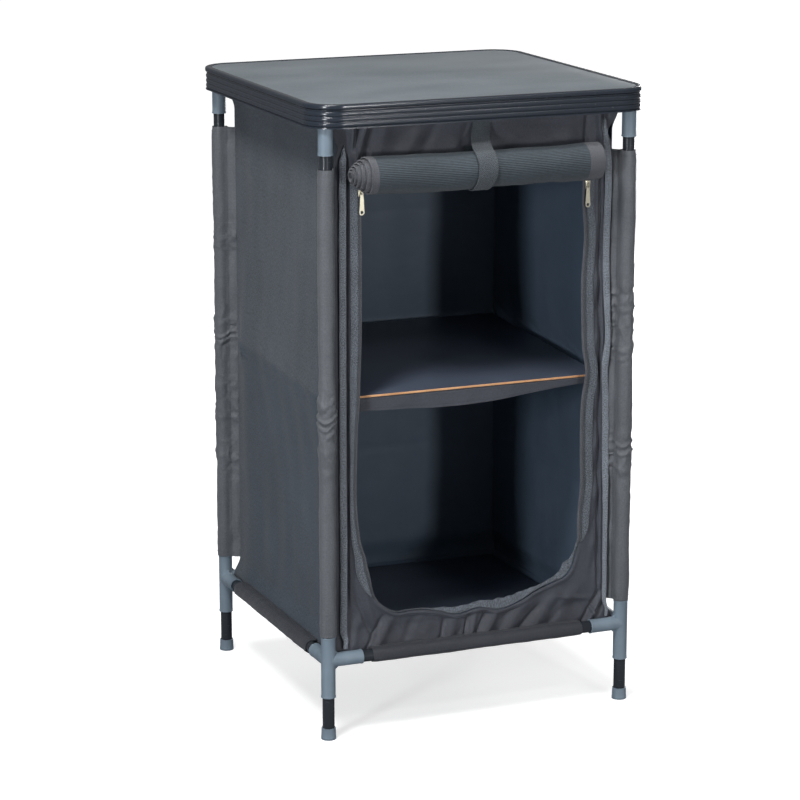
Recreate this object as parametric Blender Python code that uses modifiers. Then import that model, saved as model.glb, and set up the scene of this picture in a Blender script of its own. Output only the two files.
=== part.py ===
"""Camping cupboard: a plug-together tube frame that carries a sewn fabric cupboard
and a lift-off tabletop. Metres, +Z up, front towards -Y, origin on the floor under
the middle of the whole. Lengths below are measured from the middle of the frame,
which an empty sets a little behind the origin, because the rolled door stands
out in front."""

import math

import bmesh
import bpy
from mathutils import Matrix, Vector

# Frame, measured to the axes of the tubes.
LEG_X = 0.254
LEG_Y = 0.242
TUBE_R = 0.0095
TUBE_WALL = 0.0010
TUBE_SIDES = 16
GAP = 0.0003

# Moulded connectors. A socket is the bore that a tube is pushed into.
SOCKET_R = 0.0100
CONNECTOR_R = 0.0113
BRANCH_R = 0.0111
BRANCH_REACH = 0.056
BRANCH_SOCKET_START = 0.0145
BORE_BEYOND = 0.0100
GUSSET_RUN = 0.027
GUSSET_THICK = 0.0034
LOW_AXIS_Z = 0.1286
LOW_BOTTOM_Z = 0.0687
LOW_TOP_Z = 0.1675
UP_AXIS_Z = 0.9840
UP_BOTTOM_Z = 0.9240
SOCKET_WEB = 0.0110
UP_WEB_SPARE = 0.0030

# Foot caps, turned, a little wider near the floor.
CAP_HEIGHT = 0.0185
CAP_TOP_R = 0.0112
CAP_TOP_EDGE = 0.0004
CAP_FOOT_R = 0.0119
CAP_FOOT_EDGE = 0.0012
CAP_FOOT_BAND = 0.0030
CAP_FLOOR = 0.0045

# Tabletop: a board in a ribbed edge frame that drops over the upper rails.
TABLE_OVERHANG = 0.0285
TABLE_X = LEG_X + TABLE_OVERHANG
TABLE_Y = LEG_Y + TABLE_OVERHANG
TABLE_CORNER_R = 0.052
TABLE_TOP_Z = 1.0030
RIM_BOTTOM_Z = 0.9660
RIM_LIP_IN = 0.0105
BOARD_THICK = 0.0052
BOARD_BOTTOM_Z = 0.9970
LEDGE_REACH = 0.0060
LEDGE_THICK = 0.0012
RIM_WALL = 0.0026
RIM_WALL_IN = 0.0040
FLANGE_OUT = 0.0022
FLANGE_LOW = 0.0016
FLANGE_HIGH = 0.0024
RIB_OUT = 0.0016
RIB_HALF = 0.0026
RIB_CREST = 0.0010
RIB_CENTRES = (0.0065, 0.0128, 0.0191)
BEAD_LOW = 0.0110
BEAD_HIGH = 0.0068
BEAD_NECK = 0.0006
LIP_DROP = 0.0052
LIP_EDGE = 0.0013

# Sewn cupboard. Its walls hang inside the legs; the opening is a U.
WALL_INSET = 0.0195
CLOTH = 0.0014
WALL_X = LEG_X - WALL_INSET
WALL_Y = LEG_Y - WALL_INSET
WALL_BOTTOM_Z = 0.1185
WALL_TOP_Z = 0.9850
FLOOR_CLOTH_Z = 0.1173
OPENING_HALF = 0.1915
OPENING_BOTTOM_Z = 0.1780
OPENING_TOP_Z = 0.8840
OPENING_R = 0.1000
OPENING_TRIM = 0.0045
SIDE_BOW = 0.0030
BACK_BOW = 0.0040
PACKING_CREASE = 0.0012
FRONT_FOLD = 0.0018
FRONT_FOLD_PITCH = 0.0750
FRONT_FOLD_SLANT = 0.45
SLEEVE_R = 0.0119
SLEEVE_CLOTH = 0.0013
SLEEVE_BOTTOM_Z = 0.1680
SLEEVE_TOP_Z = 0.9030
HEM_R = 0.0105
HEM_CLOTH = 0.0010
LOW_SLEEVE_BACK = 0.073
HEM_BACK = 0.068
LOW_SLEEVE_TILT = 16
HEM_TILT = -4
SEAM_GAP = 0.0004
TAIL_NECK_DEG = 24.0
SLEEVE_TAIL_HALF = 0.0010
HEM_TAIL_HALF = 0.0008

# Folded tape over the two front corner seams: middle and ripple of each.
BINDINGS = {"fl": (-0.2215, 0.0), "fr": (0.2262, 0.0012)}
BINDING_WIDTH = 0.0110
BINDING_THICK = 0.0016
BINDING_BOTTOM_Z = 0.1600
BINDING_TOP_Z = 0.9100
BINDING_WAVES = 31.0

# Boards and the hanging shelf, which drops a little towards the front.
BASE_BOARD_X = 0.2275
BASE_BOARD_Y = 0.2140
BASE_BOARD_Z = 0.1188
BASE_BOARD_THICK = 0.0045
SHELF_X = 0.2265
SHELF_FRONT_Y = -0.2050
SHELF_BACK_Y = 0.2130
SHELF_FRONT_Z = 0.5350
SHELF_BACK_Z = 0.5530
SHELF_THICK = 0.0035
SLING_CLOTH = 0.0012
SLING_DROP = 0.0200
SLING_SIDE = 0.0010
SLING_BACK = 0.0030
SLING_HEM_BACK = 0.0004
SLING_HEM_SHARE = 0.35

# Rolled door, its strap and the zip.
ROLL_Y = -0.2575
ROLL_Z = 0.8930
ROLL_OUTER_R = 0.0295
ROLL_INNER_R = 0.0060
ROLL_TURNS = 6
ROLL_STEPS = 20
ROLL_CLOTH = 0.0024
ROLL_LEFT_X = -0.2160
ROLL_RIGHT_X = 0.1940
ROLL_TELESCOPE = 0.0100
ROLL_TAIL = 0.0110
STRAP_X = -0.0070
STRAP_WIDTH = 0.0310
STRAP_CLOTH = 0.0012
STRAP_LAP = 0.0060
STRAP_SLACK = 0.0006
STRAP_FLARE = 0.0132
STRAP_BEND_DROP = 0.0150
STRAP_TOP_Z = 0.9600
ZIP_Y = -0.2249
TAPE_WIDTH = 0.0130
TAPE_HALF = 0.0006
COIL_R = 0.0015
SLIDER_Z = {"l": 0.8620, "r": 0.8490}
SLIDER_HEIGHT = 0.0130
SLIDER_HALF_DEPTH = 0.0034
SLIDER_MOUTH_X = 0.0035
SLIDER_WEB_X = -0.0041
SLIDER_BACK_X = -0.0055
SLIDER_EDGE = 0.0004
COIL_ROOM = 0.0005
ARCH_X = -0.0010
ARCH_OUT = 0.0038
ARCH_SINK = 0.0006
ARCH_HALF = 0.0040
ARCH_WIRE_R = 0.0007
PULL_LENGTH = 0.0340
PULL_TIP_R = 0.0042
PULL_WAIST = (0.0038, -0.0100)
PULL_SHOULDER = (0.0030, -0.0020)
PULL_TOP_HALF = 0.0024
PULL_BAR = 0.00055
PULL_SLOT_R = 0.0017
PULL_SLOT_DEPTH = 0.0062
PULL_HOLE_R = 0.0021
PULL_HOLE_UP = 0.0052
PULL_THICK = 0.0010
PULL_OUT = 0.0016
PULL_DROP = 0.0012

STRAP_R = ROLL_OUTER_R + ROLL_CLOTH / 2 + STRAP_SLACK + STRAP_CLOTH / 2
FRONT_REACH = -ROLL_Y + STRAP_R + STRAP_CLOTH / 2
FRAME_BACK = (FRONT_REACH - TABLE_Y) / 2

CORNERS = {
    "fl": (-LEG_X, -LEG_Y, 0.0),
    "fr": (LEG_X, -LEG_Y, math.pi / 2),
    "br": (LEG_X, LEG_Y, math.pi),
    "bl": (-LEG_X, LEG_Y, 1.5 * math.pi),
}
SIDES = {
    "front": ("x", -LEG_Y, 1.0),
    "back": ("x", LEG_Y, -1.0),
    "left": ("y", -LEG_X, 1.0),
    "right": ("y", LEG_X, -1.0),
}


# Scene helpers


def new_collection(name):
    collection = bpy.data.collections.new(name)
    bpy.context.scene.collection.children.link(collection)
    return collection


def finish(name, colour, roughness, metallic=0.0):
    """One Principled material for one sub-part."""
    material = bpy.data.materials.new(name)
    material.use_nodes = True
    shader = material.node_tree.nodes["Principled BSDF"]
    shader.inputs["Base Color"].default_value = (*colour, 1.0)
    shader.inputs["Roughness"].default_value = roughness
    shader.inputs["Metallic"].default_value = metallic
    return material


def add_object(name, data, look=None, where=None):
    """Link new object data; without a look it is a cutter or a guide."""
    obj = bpy.data.objects.new(name, data)
    if look is None:
        CUTTERS.objects.link(obj)
        obj.hide_render = True
        obj.display_type = "WIRE"
    else:
        PARTS.objects.link(obj)
        data.materials.clear()
        data.materials.append(finish(name, *look))
    obj.parent = HOLDER
    if where is not None:
        obj.matrix_local = where
    return obj


def mesh_from(bm, name):
    mesh = bpy.data.meshes.new(name)
    bm.to_mesh(mesh)
    bm.free()
    mesh.shade_smooth()
    mesh.set_sharp_from_angle(angle=math.radians(35))
    return mesh


def evaluated_mesh(obj, weld=0.0):
    """The mesh of an object with its modifiers on, in the object's own space."""
    depsgraph = bpy.context.evaluated_depsgraph_get()
    mesh = bpy.data.meshes.new_from_object(obj.evaluated_get(depsgraph))
    if weld:
        bm = bmesh.new()
        bm.from_mesh(mesh)
        bmesh.ops.remove_doubles(bm, verts=bm.verts, dist=weld)
        bmesh.ops.recalc_face_normals(bm, faces=bm.faces)
        bm.to_mesh(mesh)
        bm.free()
    mesh.shade_smooth()
    mesh.set_sharp_from_angle(angle=math.radians(35))
    return mesh


def boolean(obj, cutter, operation):
    modifier = obj.modifiers.new(operation.title(), "BOOLEAN")
    modifier.operation = operation
    modifier.solver = "EXACT"
    modifier.object = cutter


def bevel(obj, width, segments=2, angle=40):
    modifier = obj.modifiers.new("Bevel", "BEVEL")
    modifier.width = width
    modifier.segments = segments
    modifier.limit_method = "ANGLE"
    modifier.angle_limit = math.radians(angle)


def solidify(obj, thickness, offset=0.0):
    modifier = obj.modifiers.new("Solidify", "SOLIDIFY")
    modifier.thickness = thickness
    modifier.offset = offset


def along(axis, start, end):
    """A matrix that puts a unit Z cylinder's middle between two points."""
    direction = Vector(axis).normalized()
    turn = Vector((0, 0, 1)).rotation_difference(direction).to_matrix().to_4x4()
    return Matrix.Translation((Vector(start) + Vector(end)) / 2) @ turn


def rod_mesh(name, radius, start, end, caps=True):
    """A round bar, or with caps off an open tube surface."""
    bm = bmesh.new()
    span = Vector(end) - Vector(start)
    bmesh.ops.create_cone(bm, cap_ends=caps, segments=TUBE_SIDES, radius1=radius,
                          radius2=radius, depth=span.length,
                          matrix=along(span, start, end))
    return mesh_from(bm, name)


def box_mesh(name, low, high):
    bm = bmesh.new()
    centre = [(a + b) / 2 for a, b in zip(low, high)]
    size = [b - a for a, b in zip(low, high)]
    bmesh.ops.create_cube(bm, size=1.0)
    bmesh.ops.scale(bm, vec=size, verts=bm.verts)
    bmesh.ops.translate(bm, vec=centre, verts=bm.verts)
    return mesh_from(bm, name)


def outline_curve(name, outlines, half_thickness):
    """A flat plate in the curve's XY plane; later outlines are holes."""
    curve = bpy.data.curves.new(name, "CURVE")
    curve.dimensions = "2D"
    curve.fill_mode = "BOTH"
    curve.extrude = half_thickness
    for points in outlines:
        spline = curve.splines.new("POLY")
        spline.points.add(len(points) - 1)
        spline.use_cyclic_u = True
        for point, (x, y) in zip(spline.points, points):
            point.co = (x, y, 0.0, 1.0)
    return curve


def plate_mesh(name, outlines, half_thickness, turn=None):
    """The plate of outline_curve as a welded mesh."""
    curve_object = add_object(name + "_outline",
                              outline_curve(name, outlines, half_thickness))
    mesh = evaluated_mesh(curve_object, weld=1e-6)
    bpy.data.objects.remove(curve_object)
    if turn is not None:
        mesh.transform(turn)
    return mesh


def sweep_mesh(name, profile, path, cyclic=False):
    """A closed profile (outwards, up) carried along a flat path of (x, y)."""
    section = add_object(name + "_profile", outline_curve(name, [profile], 0.0))
    curve = bpy.data.curves.new(name, "CURVE")
    curve.dimensions = "2D"
    curve.fill_mode = "NONE"
    curve.bevel_mode = "OBJECT"
    curve.bevel_object = section
    curve.use_fill_caps = not cyclic
    spline = curve.splines.new("POLY")
    spline.points.add(len(path) - 1)
    spline.use_cyclic_u = cyclic
    for point, (x, y) in zip(spline.points, path):
        point.co = (x, y, 0.0, 1.0)
    rail = add_object(name + "_path", curve)
    mesh = evaluated_mesh(rail, weld=1e-6)
    bpy.data.objects.remove(rail)
    return mesh


def arc(centre, radius, start_deg, end_deg, steps):
    cx, cy = centre
    angles = [math.radians(start_deg + (end_deg - start_deg) * i / steps)
              for i in range(steps + 1)]
    return [(cx + radius * math.cos(a), cy + radius * math.sin(a)) for a in angles]


def rounded_rectangle(half_x, half_y, radius, steps=5):
    points = []
    for sign_x, sign_y, start in ((1, 1, 0), (-1, 1, 90), (-1, -1, 180), (1, -1, 270)):
        centre = (sign_x * (half_x - radius), sign_y * (half_y - radius))
        points += arc(centre, radius, start, start + 90, steps)
    return points


# Frame


def tube(name, start, end, look):
    obj = add_object(name, rod_mesh(name, TUBE_R, start, end, caps=False), look)
    solidify(obj, TUBE_WALL, offset=-1.0)


def connector_mesh(name, bottom, top, axis_z, sockets):
    """Three-way moulding at a left front corner: an upright sleeve, a branch
    towards +X, a branch towards +Y and a gusset web under and over each."""
    body = add_object(name, rod_mesh(name, CONNECTOR_R, (0, 0, bottom), (0, 0, top)))
    reach = min(GUSSET_RUN, top - axis_z)
    web = [(0.0, -GUSSET_RUN), (GUSSET_RUN, 0.0), (0.0, reach)]
    lay_x = Matrix.Translation((0, 0, axis_z)) @ Matrix.Rotation(math.pi / 2, 4, "X")
    lay_y = Matrix.Rotation(math.pi / 2, 4, "Z") @ lay_x
    for key, tip, lay in (("x", (BRANCH_REACH, 0, axis_z), lay_x),
                          ("y", (0, BRANCH_REACH, axis_z), lay_y)):
        branch = rod_mesh(f"{name}_branch_{key}", BRANCH_R, (0, 0, axis_z), tip)
        boolean(body, add_object(branch.name, branch), "UNION")
        gusset = plate_mesh(f"{name}_gusset_{key}", [web], GUSSET_THICK / 2, lay)
        boolean(body, add_object(gusset.name, gusset), "UNION")
    begin, end = BRANCH_SOCKET_START, BRANCH_REACH + BORE_BEYOND
    bores = [((begin, 0, axis_z), (end, 0, axis_z)), ((0, begin, axis_z), (0, end, axis_z))]
    bores += [((0, 0, low), (0, 0, high)) for low, high in sockets]
    for index, (start, end) in enumerate(bores):
        bore = rod_mesh(f"{name}_bore_{index}", SOCKET_R, start, end)
        boolean(body, add_object(bore.name, bore), "DIFFERENCE")
    mesh = evaluated_mesh(body, weld=1e-6)
    bpy.data.objects.remove(body)
    return mesh


def foot_cap_mesh():
    """Turned cap, slightly wider at the foot, with a blind socket."""
    profile = [
        (0.0, CAP_FLOOR),
        (SOCKET_R, CAP_FLOOR),
        (SOCKET_R, CAP_HEIGHT),
        (CAP_TOP_R - CAP_TOP_EDGE, CAP_HEIGHT),
        (CAP_TOP_R, CAP_HEIGHT - CAP_TOP_EDGE),
        (CAP_FOOT_R, CAP_FOOT_BAND),
        (CAP_FOOT_R, CAP_FOOT_EDGE),
        (CAP_FOOT_R - CAP_FOOT_EDGE, 0.0),
        (0.0, 0.0),
    ]
    bm = bmesh.new()
    verts = [bm.verts.new((r, 0.0, z)) for r, z in profile]
    for a, b in zip(verts, verts[1:]):
        bm.edges.new((a, b))
    mesh = bpy.data.meshes.new("foot_cap_profile")
    bm.to_mesh(mesh)
    bm.free()
    turned = add_object("foot_cap_profile", mesh)
    screw = turned.modifiers.new("Screw", "SCREW")
    screw.steps = TUBE_SIDES
    screw.render_steps = TUBE_SIDES
    screw.use_merge_vertices = True
    screw.merge_threshold = 0.00005
    solid = evaluated_mesh(turned, weld=1e-6)
    bpy.data.objects.remove(turned)
    return solid


def build_frame():
    black_tube = ((0.030, 0.034, 0.038), 0.22, 0.2)
    blue_grey = ((0.25, 0.31, 0.35), 0.45)
    low_stop = LOW_AXIS_Z - SOCKET_WEB
    low_seat = LOW_AXIS_Z + SOCKET_WEB
    up_stop = UP_AXIS_Z - SOCKET_WEB - UP_WEB_SPARE
    lower = connector_mesh("lower_connector", LOW_BOTTOM_Z, LOW_TOP_Z, LOW_AXIS_Z,
                           [(LOW_BOTTOM_Z - BORE_BEYOND, low_stop),
                            (low_seat, LOW_TOP_Z + BORE_BEYOND)])
    upper = connector_mesh("upper_connector", UP_BOTTOM_Z, UP_AXIS_Z + BRANCH_R,
                           UP_AXIS_Z, [(UP_BOTTOM_Z - BORE_BEYOND, up_stop)])
    cap = foot_cap_mesh()
    for key, (x, y, turn) in CORNERS.items():
        where = Matrix.Translation((x, y, 0)) @ Matrix.Rotation(turn, 4, "Z")
        add_object(f"lower_connector_{key}", lower.copy(), blue_grey, where)
        add_object(f"upper_connector_{key}", upper.copy(), blue_grey, where)
        add_object(f"foot_cap_{key}", cap.copy(), blue_grey, where)
        tube(f"leg_stub_{key}", (x, y, CAP_FLOOR + GAP), (x, y, low_stop - GAP),
             black_tube)
        tube(f"leg_pole_{key}", (x, y, low_seat + GAP), (x, y, up_stop - GAP),
             black_tube)
    for side, (axis, place, _) in SIDES.items():
        half = (LEG_X if axis == "x" else LEG_Y) - BRANCH_SOCKET_START - GAP
        for level, z in (("lower", LOW_AXIS_Z), ("upper", UP_AXIS_Z)):
            if axis == "x":
                ends = (-half, place, z), (half, place, z)
            else:
                ends = (place, -half, z), (place, half, z)
            tube(f"{level}_rail_{side}", *ends, black_tube)


# Tabletop


def rim_profile():
    """Section of the edge frame, measured outwards from its inner edge and up
    from its underside: a lip, a bead, three ribs and a foot flange."""
    height = TABLE_TOP_Z - RIM_BOTTOM_Z
    wall = RIM_LIP_IN - RIM_WALL_IN
    crest = wall + RIB_OUT
    flange = wall + FLANGE_OUT
    outer = [(flange, 0.0), (flange, FLANGE_LOW), (wall, FLANGE_HIGH)]
    for centre in RIB_CENTRES:
        outer += [(wall, centre - RIB_HALF), (crest, centre - RIB_CREST),
                  (crest, centre + RIB_CREST), (wall, centre + RIB_HALF)]
    outer += [(wall, height - BEAD_LOW), (crest, height - BEAD_LOW + RIB_CREST),
              (crest, height - BEAD_HIGH - RIB_CREST), (wall + BEAD_NECK, height - BEAD_HIGH),
              (RIM_LIP_IN, height - LIP_DROP), (RIM_LIP_IN, height - LIP_EDGE),
              (RIM_LIP_IN - LIP_EDGE, height)]
    ledge = BOARD_BOTTOM_Z - RIM_BOTTOM_Z - GAP
    inside = wall - RIM_WALL
    inner = [(0.0, height), (0.0, ledge), (-LEDGE_REACH, ledge),
             (-LEDGE_REACH, ledge - LEDGE_THICK), (inside, ledge - LEDGE_THICK),
             (inside, 0.0)]
    return outer + inner


def build_tabletop():
    inner_x = TABLE_X - RIM_LIP_IN
    inner_y = TABLE_Y - RIM_LIP_IN
    inner_r = TABLE_CORNER_R - RIM_LIP_IN
    path = rounded_rectangle(inner_x, inner_y, inner_r)
    outward = [(-out, up) for out, up in rim_profile()]
    rim = sweep_mesh("tabletop_rim", outward, path, cyclic=True)
    rim.transform(Matrix.Translation((0, 0, RIM_BOTTOM_Z)))
    add_object("tabletop_rim", rim, ((0.030, 0.036, 0.043), 0.28))
    outline = rounded_rectangle(inner_x - GAP, inner_y - GAP, inner_r - GAP)
    board = plate_mesh("tabletop_board", [outline], BOARD_THICK / 2,
                       Matrix.Translation((0, 0, BOARD_BOTTOM_Z + BOARD_THICK / 2)))
    add_object("tabletop_board", board, ((0.24, 0.25, 0.26), 0.55))


# Sewn cupboard


def ease(value, low, high):
    """0 at low, 1 at high, smooth between."""
    t = min(max((value - low) / (high - low), 0.0), 1.0)
    return t * t * (3 - 2 * t)


def cloth_grid(name, columns, rows, place, look, thickness=CLOTH):
    """A panel whose cloth follows place(u, v), u and v from 0 to 1."""
    bm = bmesh.new()
    bmesh.ops.create_grid(bm, x_segments=columns, y_segments=rows, size=0.5)
    for vert in bm.verts:
        vert.co = place(vert.co.x + 0.5, vert.co.y + 0.5)
    obj = add_object(name, mesh_from(bm, name), look)
    solidify(obj, thickness)
    return obj


def edge_window(u, v, margin=0.12):
    """1 in the middle of a panel, 0 along its seams."""
    return (ease(u, 0, margin) * ease(1 - u, 0, margin)
            * ease(v, 0, margin) * ease(1 - v, 0, margin))


def bell(value, middle, width):
    return math.exp(-((value - middle) / width) ** 2)


def side_bow(u, v, sign):
    """A side wall is drawn in between the legs and creased from packing:
    one soft fold across the middle and one that runs down to the front."""
    bow = SIDE_BOW * math.sin(math.pi * u) * math.sin(math.pi * v)
    across = bell(v, 0.54, 0.035)
    slanted = bell(v, 0.66 - 0.26 * (1 - u), 0.030)
    return sign * (bow + PACKING_CREASE * (across + slanted) * edge_window(u, v))


def front_folds(x, z):
    """Slack below the opening: folds that fan out from its rounded corners."""
    foot, brow = WALL_BOTTOM_Z + 0.0035, OPENING_BOTTOM_Z - 0.0220
    below = ease(brow - z, 0.0, 0.018) * ease(z, foot, foot + 0.018)
    below *= ease(WALL_X - 0.008 - abs(x), 0.0, 0.025)
    slant = abs(x) + FRONT_FOLD_SLANT * (z - WALL_BOTTOM_Z)
    fan = math.sin(2 * math.pi * slant / FRONT_FOLD_PITCH)
    return FRONT_FOLD * below * (1.0 + fan)


def opening_path(outset, top, steps=12):
    """The U of the doorway, drawn out by outset, from top left to top right."""
    half = OPENING_HALF + outset
    radius = OPENING_R + outset
    centre_z = OPENING_BOTTOM_Z + OPENING_R
    path = [(-half, top)]
    path += arc((-half + radius, centre_z), radius, 180, 270, steps)
    path += arc((half - radius, centre_z), radius, 270, 360, steps)
    path.append((half, top))
    return path


def wrap_path(radius, tail_length, tail_deg, half_gap, steps=13):
    """A strip folded round a tube at (0, 0) with both ends sewn in one tail."""
    tail = math.radians(tail_deg)
    out = (math.cos(tail), math.sin(tail))
    side = (-out[1], out[0])
    points = [(out[0] * tail_length + side[0] * half_gap,
               out[1] * tail_length + side[1] * half_gap)]
    points += arc((0, 0), radius, tail_deg + TAIL_NECK_DEG, tail_deg + 360 - TAIL_NECK_DEG, steps)
    points.append((out[0] * tail_length - side[0] * half_gap,
                   out[1] * tail_length - side[1] * half_gap))
    return points


def wrapped_strip(name, path, stations, to_world, look, thickness):
    """Cloth on a wrap path, carried through stations along the tube."""
    def place(u, v):
        x, y = path[round(u * (len(path) - 1))]
        station, swell = stations[round(v * (len(stations) - 1))]
        return to_world(x * swell, y * swell, station)

    return cloth_grid(name, len(path) - 1, len(stations) - 1, place, look, thickness)


def build_walls():
    cloth = ((0.085, 0.085, 0.090), 0.85)
    wall_height = WALL_TOP_Z - WALL_BOTTOM_Z
    inside_y = WALL_Y - CLOTH / 2 - GAP * 2
    outer_x = WALL_X + CLOTH / 2

    def side_wall(sign):
        def place(u, v):
            y = (u - 0.5) * 2 * inside_y
            z = WALL_BOTTOM_Z + v * wall_height
            return (sign * (WALL_X - side_bow(u, v, 1.0)), y, z)
        return place

    cloth_grid("left_panel", 8, 14, side_wall(-1), cloth)
    cloth_grid("right_panel", 8, 14, side_wall(1), cloth)

    def back_wall(u, v):
        bow = BACK_BOW * math.sin(math.pi * u) * math.sin(math.pi * v)
        return ((u - 0.5) * 2 * outer_x, WALL_Y - bow, WALL_BOTTOM_Z + v * wall_height)

    cloth_grid("back_panel", 8, 12, back_wall, cloth)

    def front_wall(u, v):
        x = (u - 0.5) * 2 * outer_x
        z = WALL_BOTTOM_Z + v * wall_height
        return (x, -WALL_Y + front_folds(x, z), z)

    front = cloth_grid("front_panel", 20, 30, front_wall, cloth)
    doorway = opening_path(OPENING_TRIM, OPENING_TOP_Z + OPENING_TRIM)
    lay = Matrix.Translation((0, -WALL_Y, 0)) @ Matrix.Rotation(math.pi / 2, 4, "X")
    cutter = plate_mesh("doorway_cutter", [doorway], 0.02, lay)
    boolean(front, add_object("doorway_cutter", cutter), "DIFFERENCE")
    low = (-outer_x, -WALL_Y - CLOTH / 2, FLOOR_CLOTH_Z - CLOTH / 2)
    high = (outer_x, WALL_Y + CLOTH / 2, FLOOR_CLOTH_Z + CLOTH / 2)
    add_object("floor_panel", box_mesh("floor_panel", low, high), cloth)


def build_sleeves():
    sleeve_look = ((0.095, 0.095, 0.100), 0.85)
    hem_look = ((0.060, 0.066, 0.075), 0.80)
    reach = WALL_INSET - CLOTH / 2
    path = wrap_path(SLEEVE_R, math.hypot(reach, reach) - SEAM_GAP, 45, SLEEVE_TAIL_HALF)
    span = SLEEVE_TOP_Z - SLEEVE_BOTTOM_Z
    levels = [0.0, 0.22, 0.44, 0.50, 0.56, 0.78, 1.0]
    crease = [1.0, 0.985, 1.0, 1.0, 0.985, 1.0, 1.0]
    stations = [(SLEEVE_BOTTOM_Z + span * t, swell) for t, swell in zip(levels, crease)]
    for key, (x, y, turn) in CORNERS.items():
        cos, sin = math.cos(turn), math.sin(turn)

        def upright(a, b, z, x=x, y=y, cos=cos, sin=sin):
            return (x + a * cos - b * sin, y + a * sin + b * cos, z)

        wrapped_strip(f"leg_sleeve_{key}", path, stations, upright, sleeve_look,
                      SLEEVE_CLOTH)
    reach -= GAP
    for side, (axis, place, inward) in SIDES.items():
        leg = LEG_X if axis == "x" else LEG_Y
        for kind, z, back, tilt in (
                ("lower_rail_sleeve", LOW_AXIS_Z, LOW_SLEEVE_BACK, LOW_SLEEVE_TILT),
                ("top_hem", UP_AXIS_Z, HEM_BACK, HEM_TILT)):
            tail = reach / math.cos(math.radians(tilt)) - SEAM_GAP
            path = wrap_path(HEM_R, tail, tilt, HEM_TAIL_HALF)

            def lying(a, b, s, axis=axis, place=place, inward=inward, z=z):
                across = place + inward * a
                return (s, across, z + b) if axis == "x" else (across, s, z + b)

            ends = [(-(leg - back), 1.0), (leg - back, 1.0)]
            if (axis == "x") == (inward > 0):
                ends.reverse()
            wrapped_strip(f"{kind}_{side}", path, ends, lying, hem_look, HEM_CLOTH)


def build_bindings():
    """Folded tape over the two front corner seams; the right one ripples."""
    tape = ((0.13, 0.14, 0.145), 0.9)
    rest_y = -WALL_Y - CLOTH / 2 - GAP - BINDING_THICK / 2
    for key, (middle, ripple) in BINDINGS.items():
        def place(u, v, middle=middle, ripple=ripple):
            z = BINDING_BOTTOM_Z + v * (BINDING_TOP_Z - BINDING_BOTTOM_Z)
            wave = ripple * math.sin(v * BINDING_WAVES) * edge_window(0.5, v)
            return (middle + (u - 0.5) * BINDING_WIDTH + wave, rest_y, z)

        cloth_grid(f"corner_binding_{key}", 1, 16, place, tape, BINDING_THICK)


# Boards and shelf


def shelf_z(y):
    """Height of the shelf board's underside at depth y."""
    t = (y - SHELF_FRONT_Y) / (SHELF_BACK_Y - SHELF_FRONT_Y)
    return SHELF_FRONT_Z + (SHELF_BACK_Z - SHELF_FRONT_Z) * t


def build_boards():
    black_board = ((0.012, 0.014, 0.018), 0.55)
    low = (-BASE_BOARD_X, -BASE_BOARD_Y, BASE_BOARD_Z)
    high = (BASE_BOARD_X, BASE_BOARD_Y, BASE_BOARD_Z + BASE_BOARD_THICK)
    add_object("base_board", box_mesh("base_board", low, high), black_board)
    mesh = box_mesh("shelf_board", (-SHELF_X, SHELF_FRONT_Y, 0.0),
                    (SHELF_X, SHELF_BACK_Y, SHELF_THICK))
    for vert in mesh.vertices:
        vert.co.z += shelf_z(vert.co.y)
    add_object("shelf_board", mesh, black_board)


def build_sling():
    """The cloth shelf that carries the board, with a hem that droops in front."""
    back_y = SHELF_BACK_Y + SLING_BACK
    depth = back_y - SHELF_FRONT_Y
    half = SHELF_X + SLING_SIDE
    under = GAP + SLING_CLOTH / 2

    def place(u, v):
        x = (u - 0.5) * 2 * half
        run = v * (depth + SLING_DROP)
        if run <= depth + 1e-9:
            y = back_y - run
            return (x, y, shelf_z(y) - under)
        fall = run - depth
        droop = SLING_HEM_SHARE + (1 - SLING_HEM_SHARE) * ease(1 - u, 0.0, 0.45)
        return (x, SHELF_FRONT_Y - SLING_HEM_BACK * fall / SLING_DROP,
                shelf_z(SHELF_FRONT_Y) - under - fall * droop)

    cloth_grid("shelf_sling", 6, 22, place, ((0.10, 0.10, 0.105), 0.85), SLING_CLOTH)


# Rolled door and strap


def spiral_point(turn_angle):
    """Centre line of the rolled cloth; angle 0 is its outer end at the back."""
    share = turn_angle / (2 * math.pi * ROLL_TURNS)
    radius = ROLL_OUTER_R + (ROLL_INNER_R - ROLL_OUTER_R) * share
    return Vector((ROLL_Y + radius * math.cos(turn_angle),
                   ROLL_Z - radius * math.sin(turn_angle)))


def least_gap(points, thickness, skip):
    """Smallest clear width between the turns of a wound strip, from each of its
    points to every stretch of its line that lies at least skip points on."""
    least = math.inf
    for i, point in enumerate(points):
        for j in range(i + skip, len(points) - 1):
            start, run = points[j], points[j + 1] - points[j]
            share = min(max((point - start).dot(run) / run.length_squared, 0.0), 1.0)
            least = min(least, (point - start - run * share).length)
    return least - thickness


def build_roll():
    """Door mesh wound up on itself; its end stands up behind the roll to the
    header. Each turn reaches a little further out at the left end."""
    angles = [2 * math.pi * i / ROLL_STEPS for i in range(ROLL_TURNS * ROLL_STEPS + 1)]
    line = [spiral_point(angle) for angle in angles]
    tail = [line[0] + Vector((0, rise)) for rise in (ROLL_TAIL, ROLL_TAIL / 2)]
    points = tail + line
    last = len(points) - 1

    def place(u, v):
        reach = ROLL_TELESCOPE * v * (1 - min(2 * u, 1))
        x = ROLL_LEFT_X + (ROLL_RIGHT_X - ROLL_LEFT_X) * u - reach
        return (x, *points[round(v * last)])

    cloth_grid("door_roll", 2, last, place, ((0.075, 0.090, 0.095), 0.8), ROLL_CLOTH)
    gap = least_gap(points, ROLL_CLOTH, ROLL_STEPS // 2)
    print(f"rolled door: {ROLL_TURNS} turns, least gap between turns {gap * 1000:.2f} mm")


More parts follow.
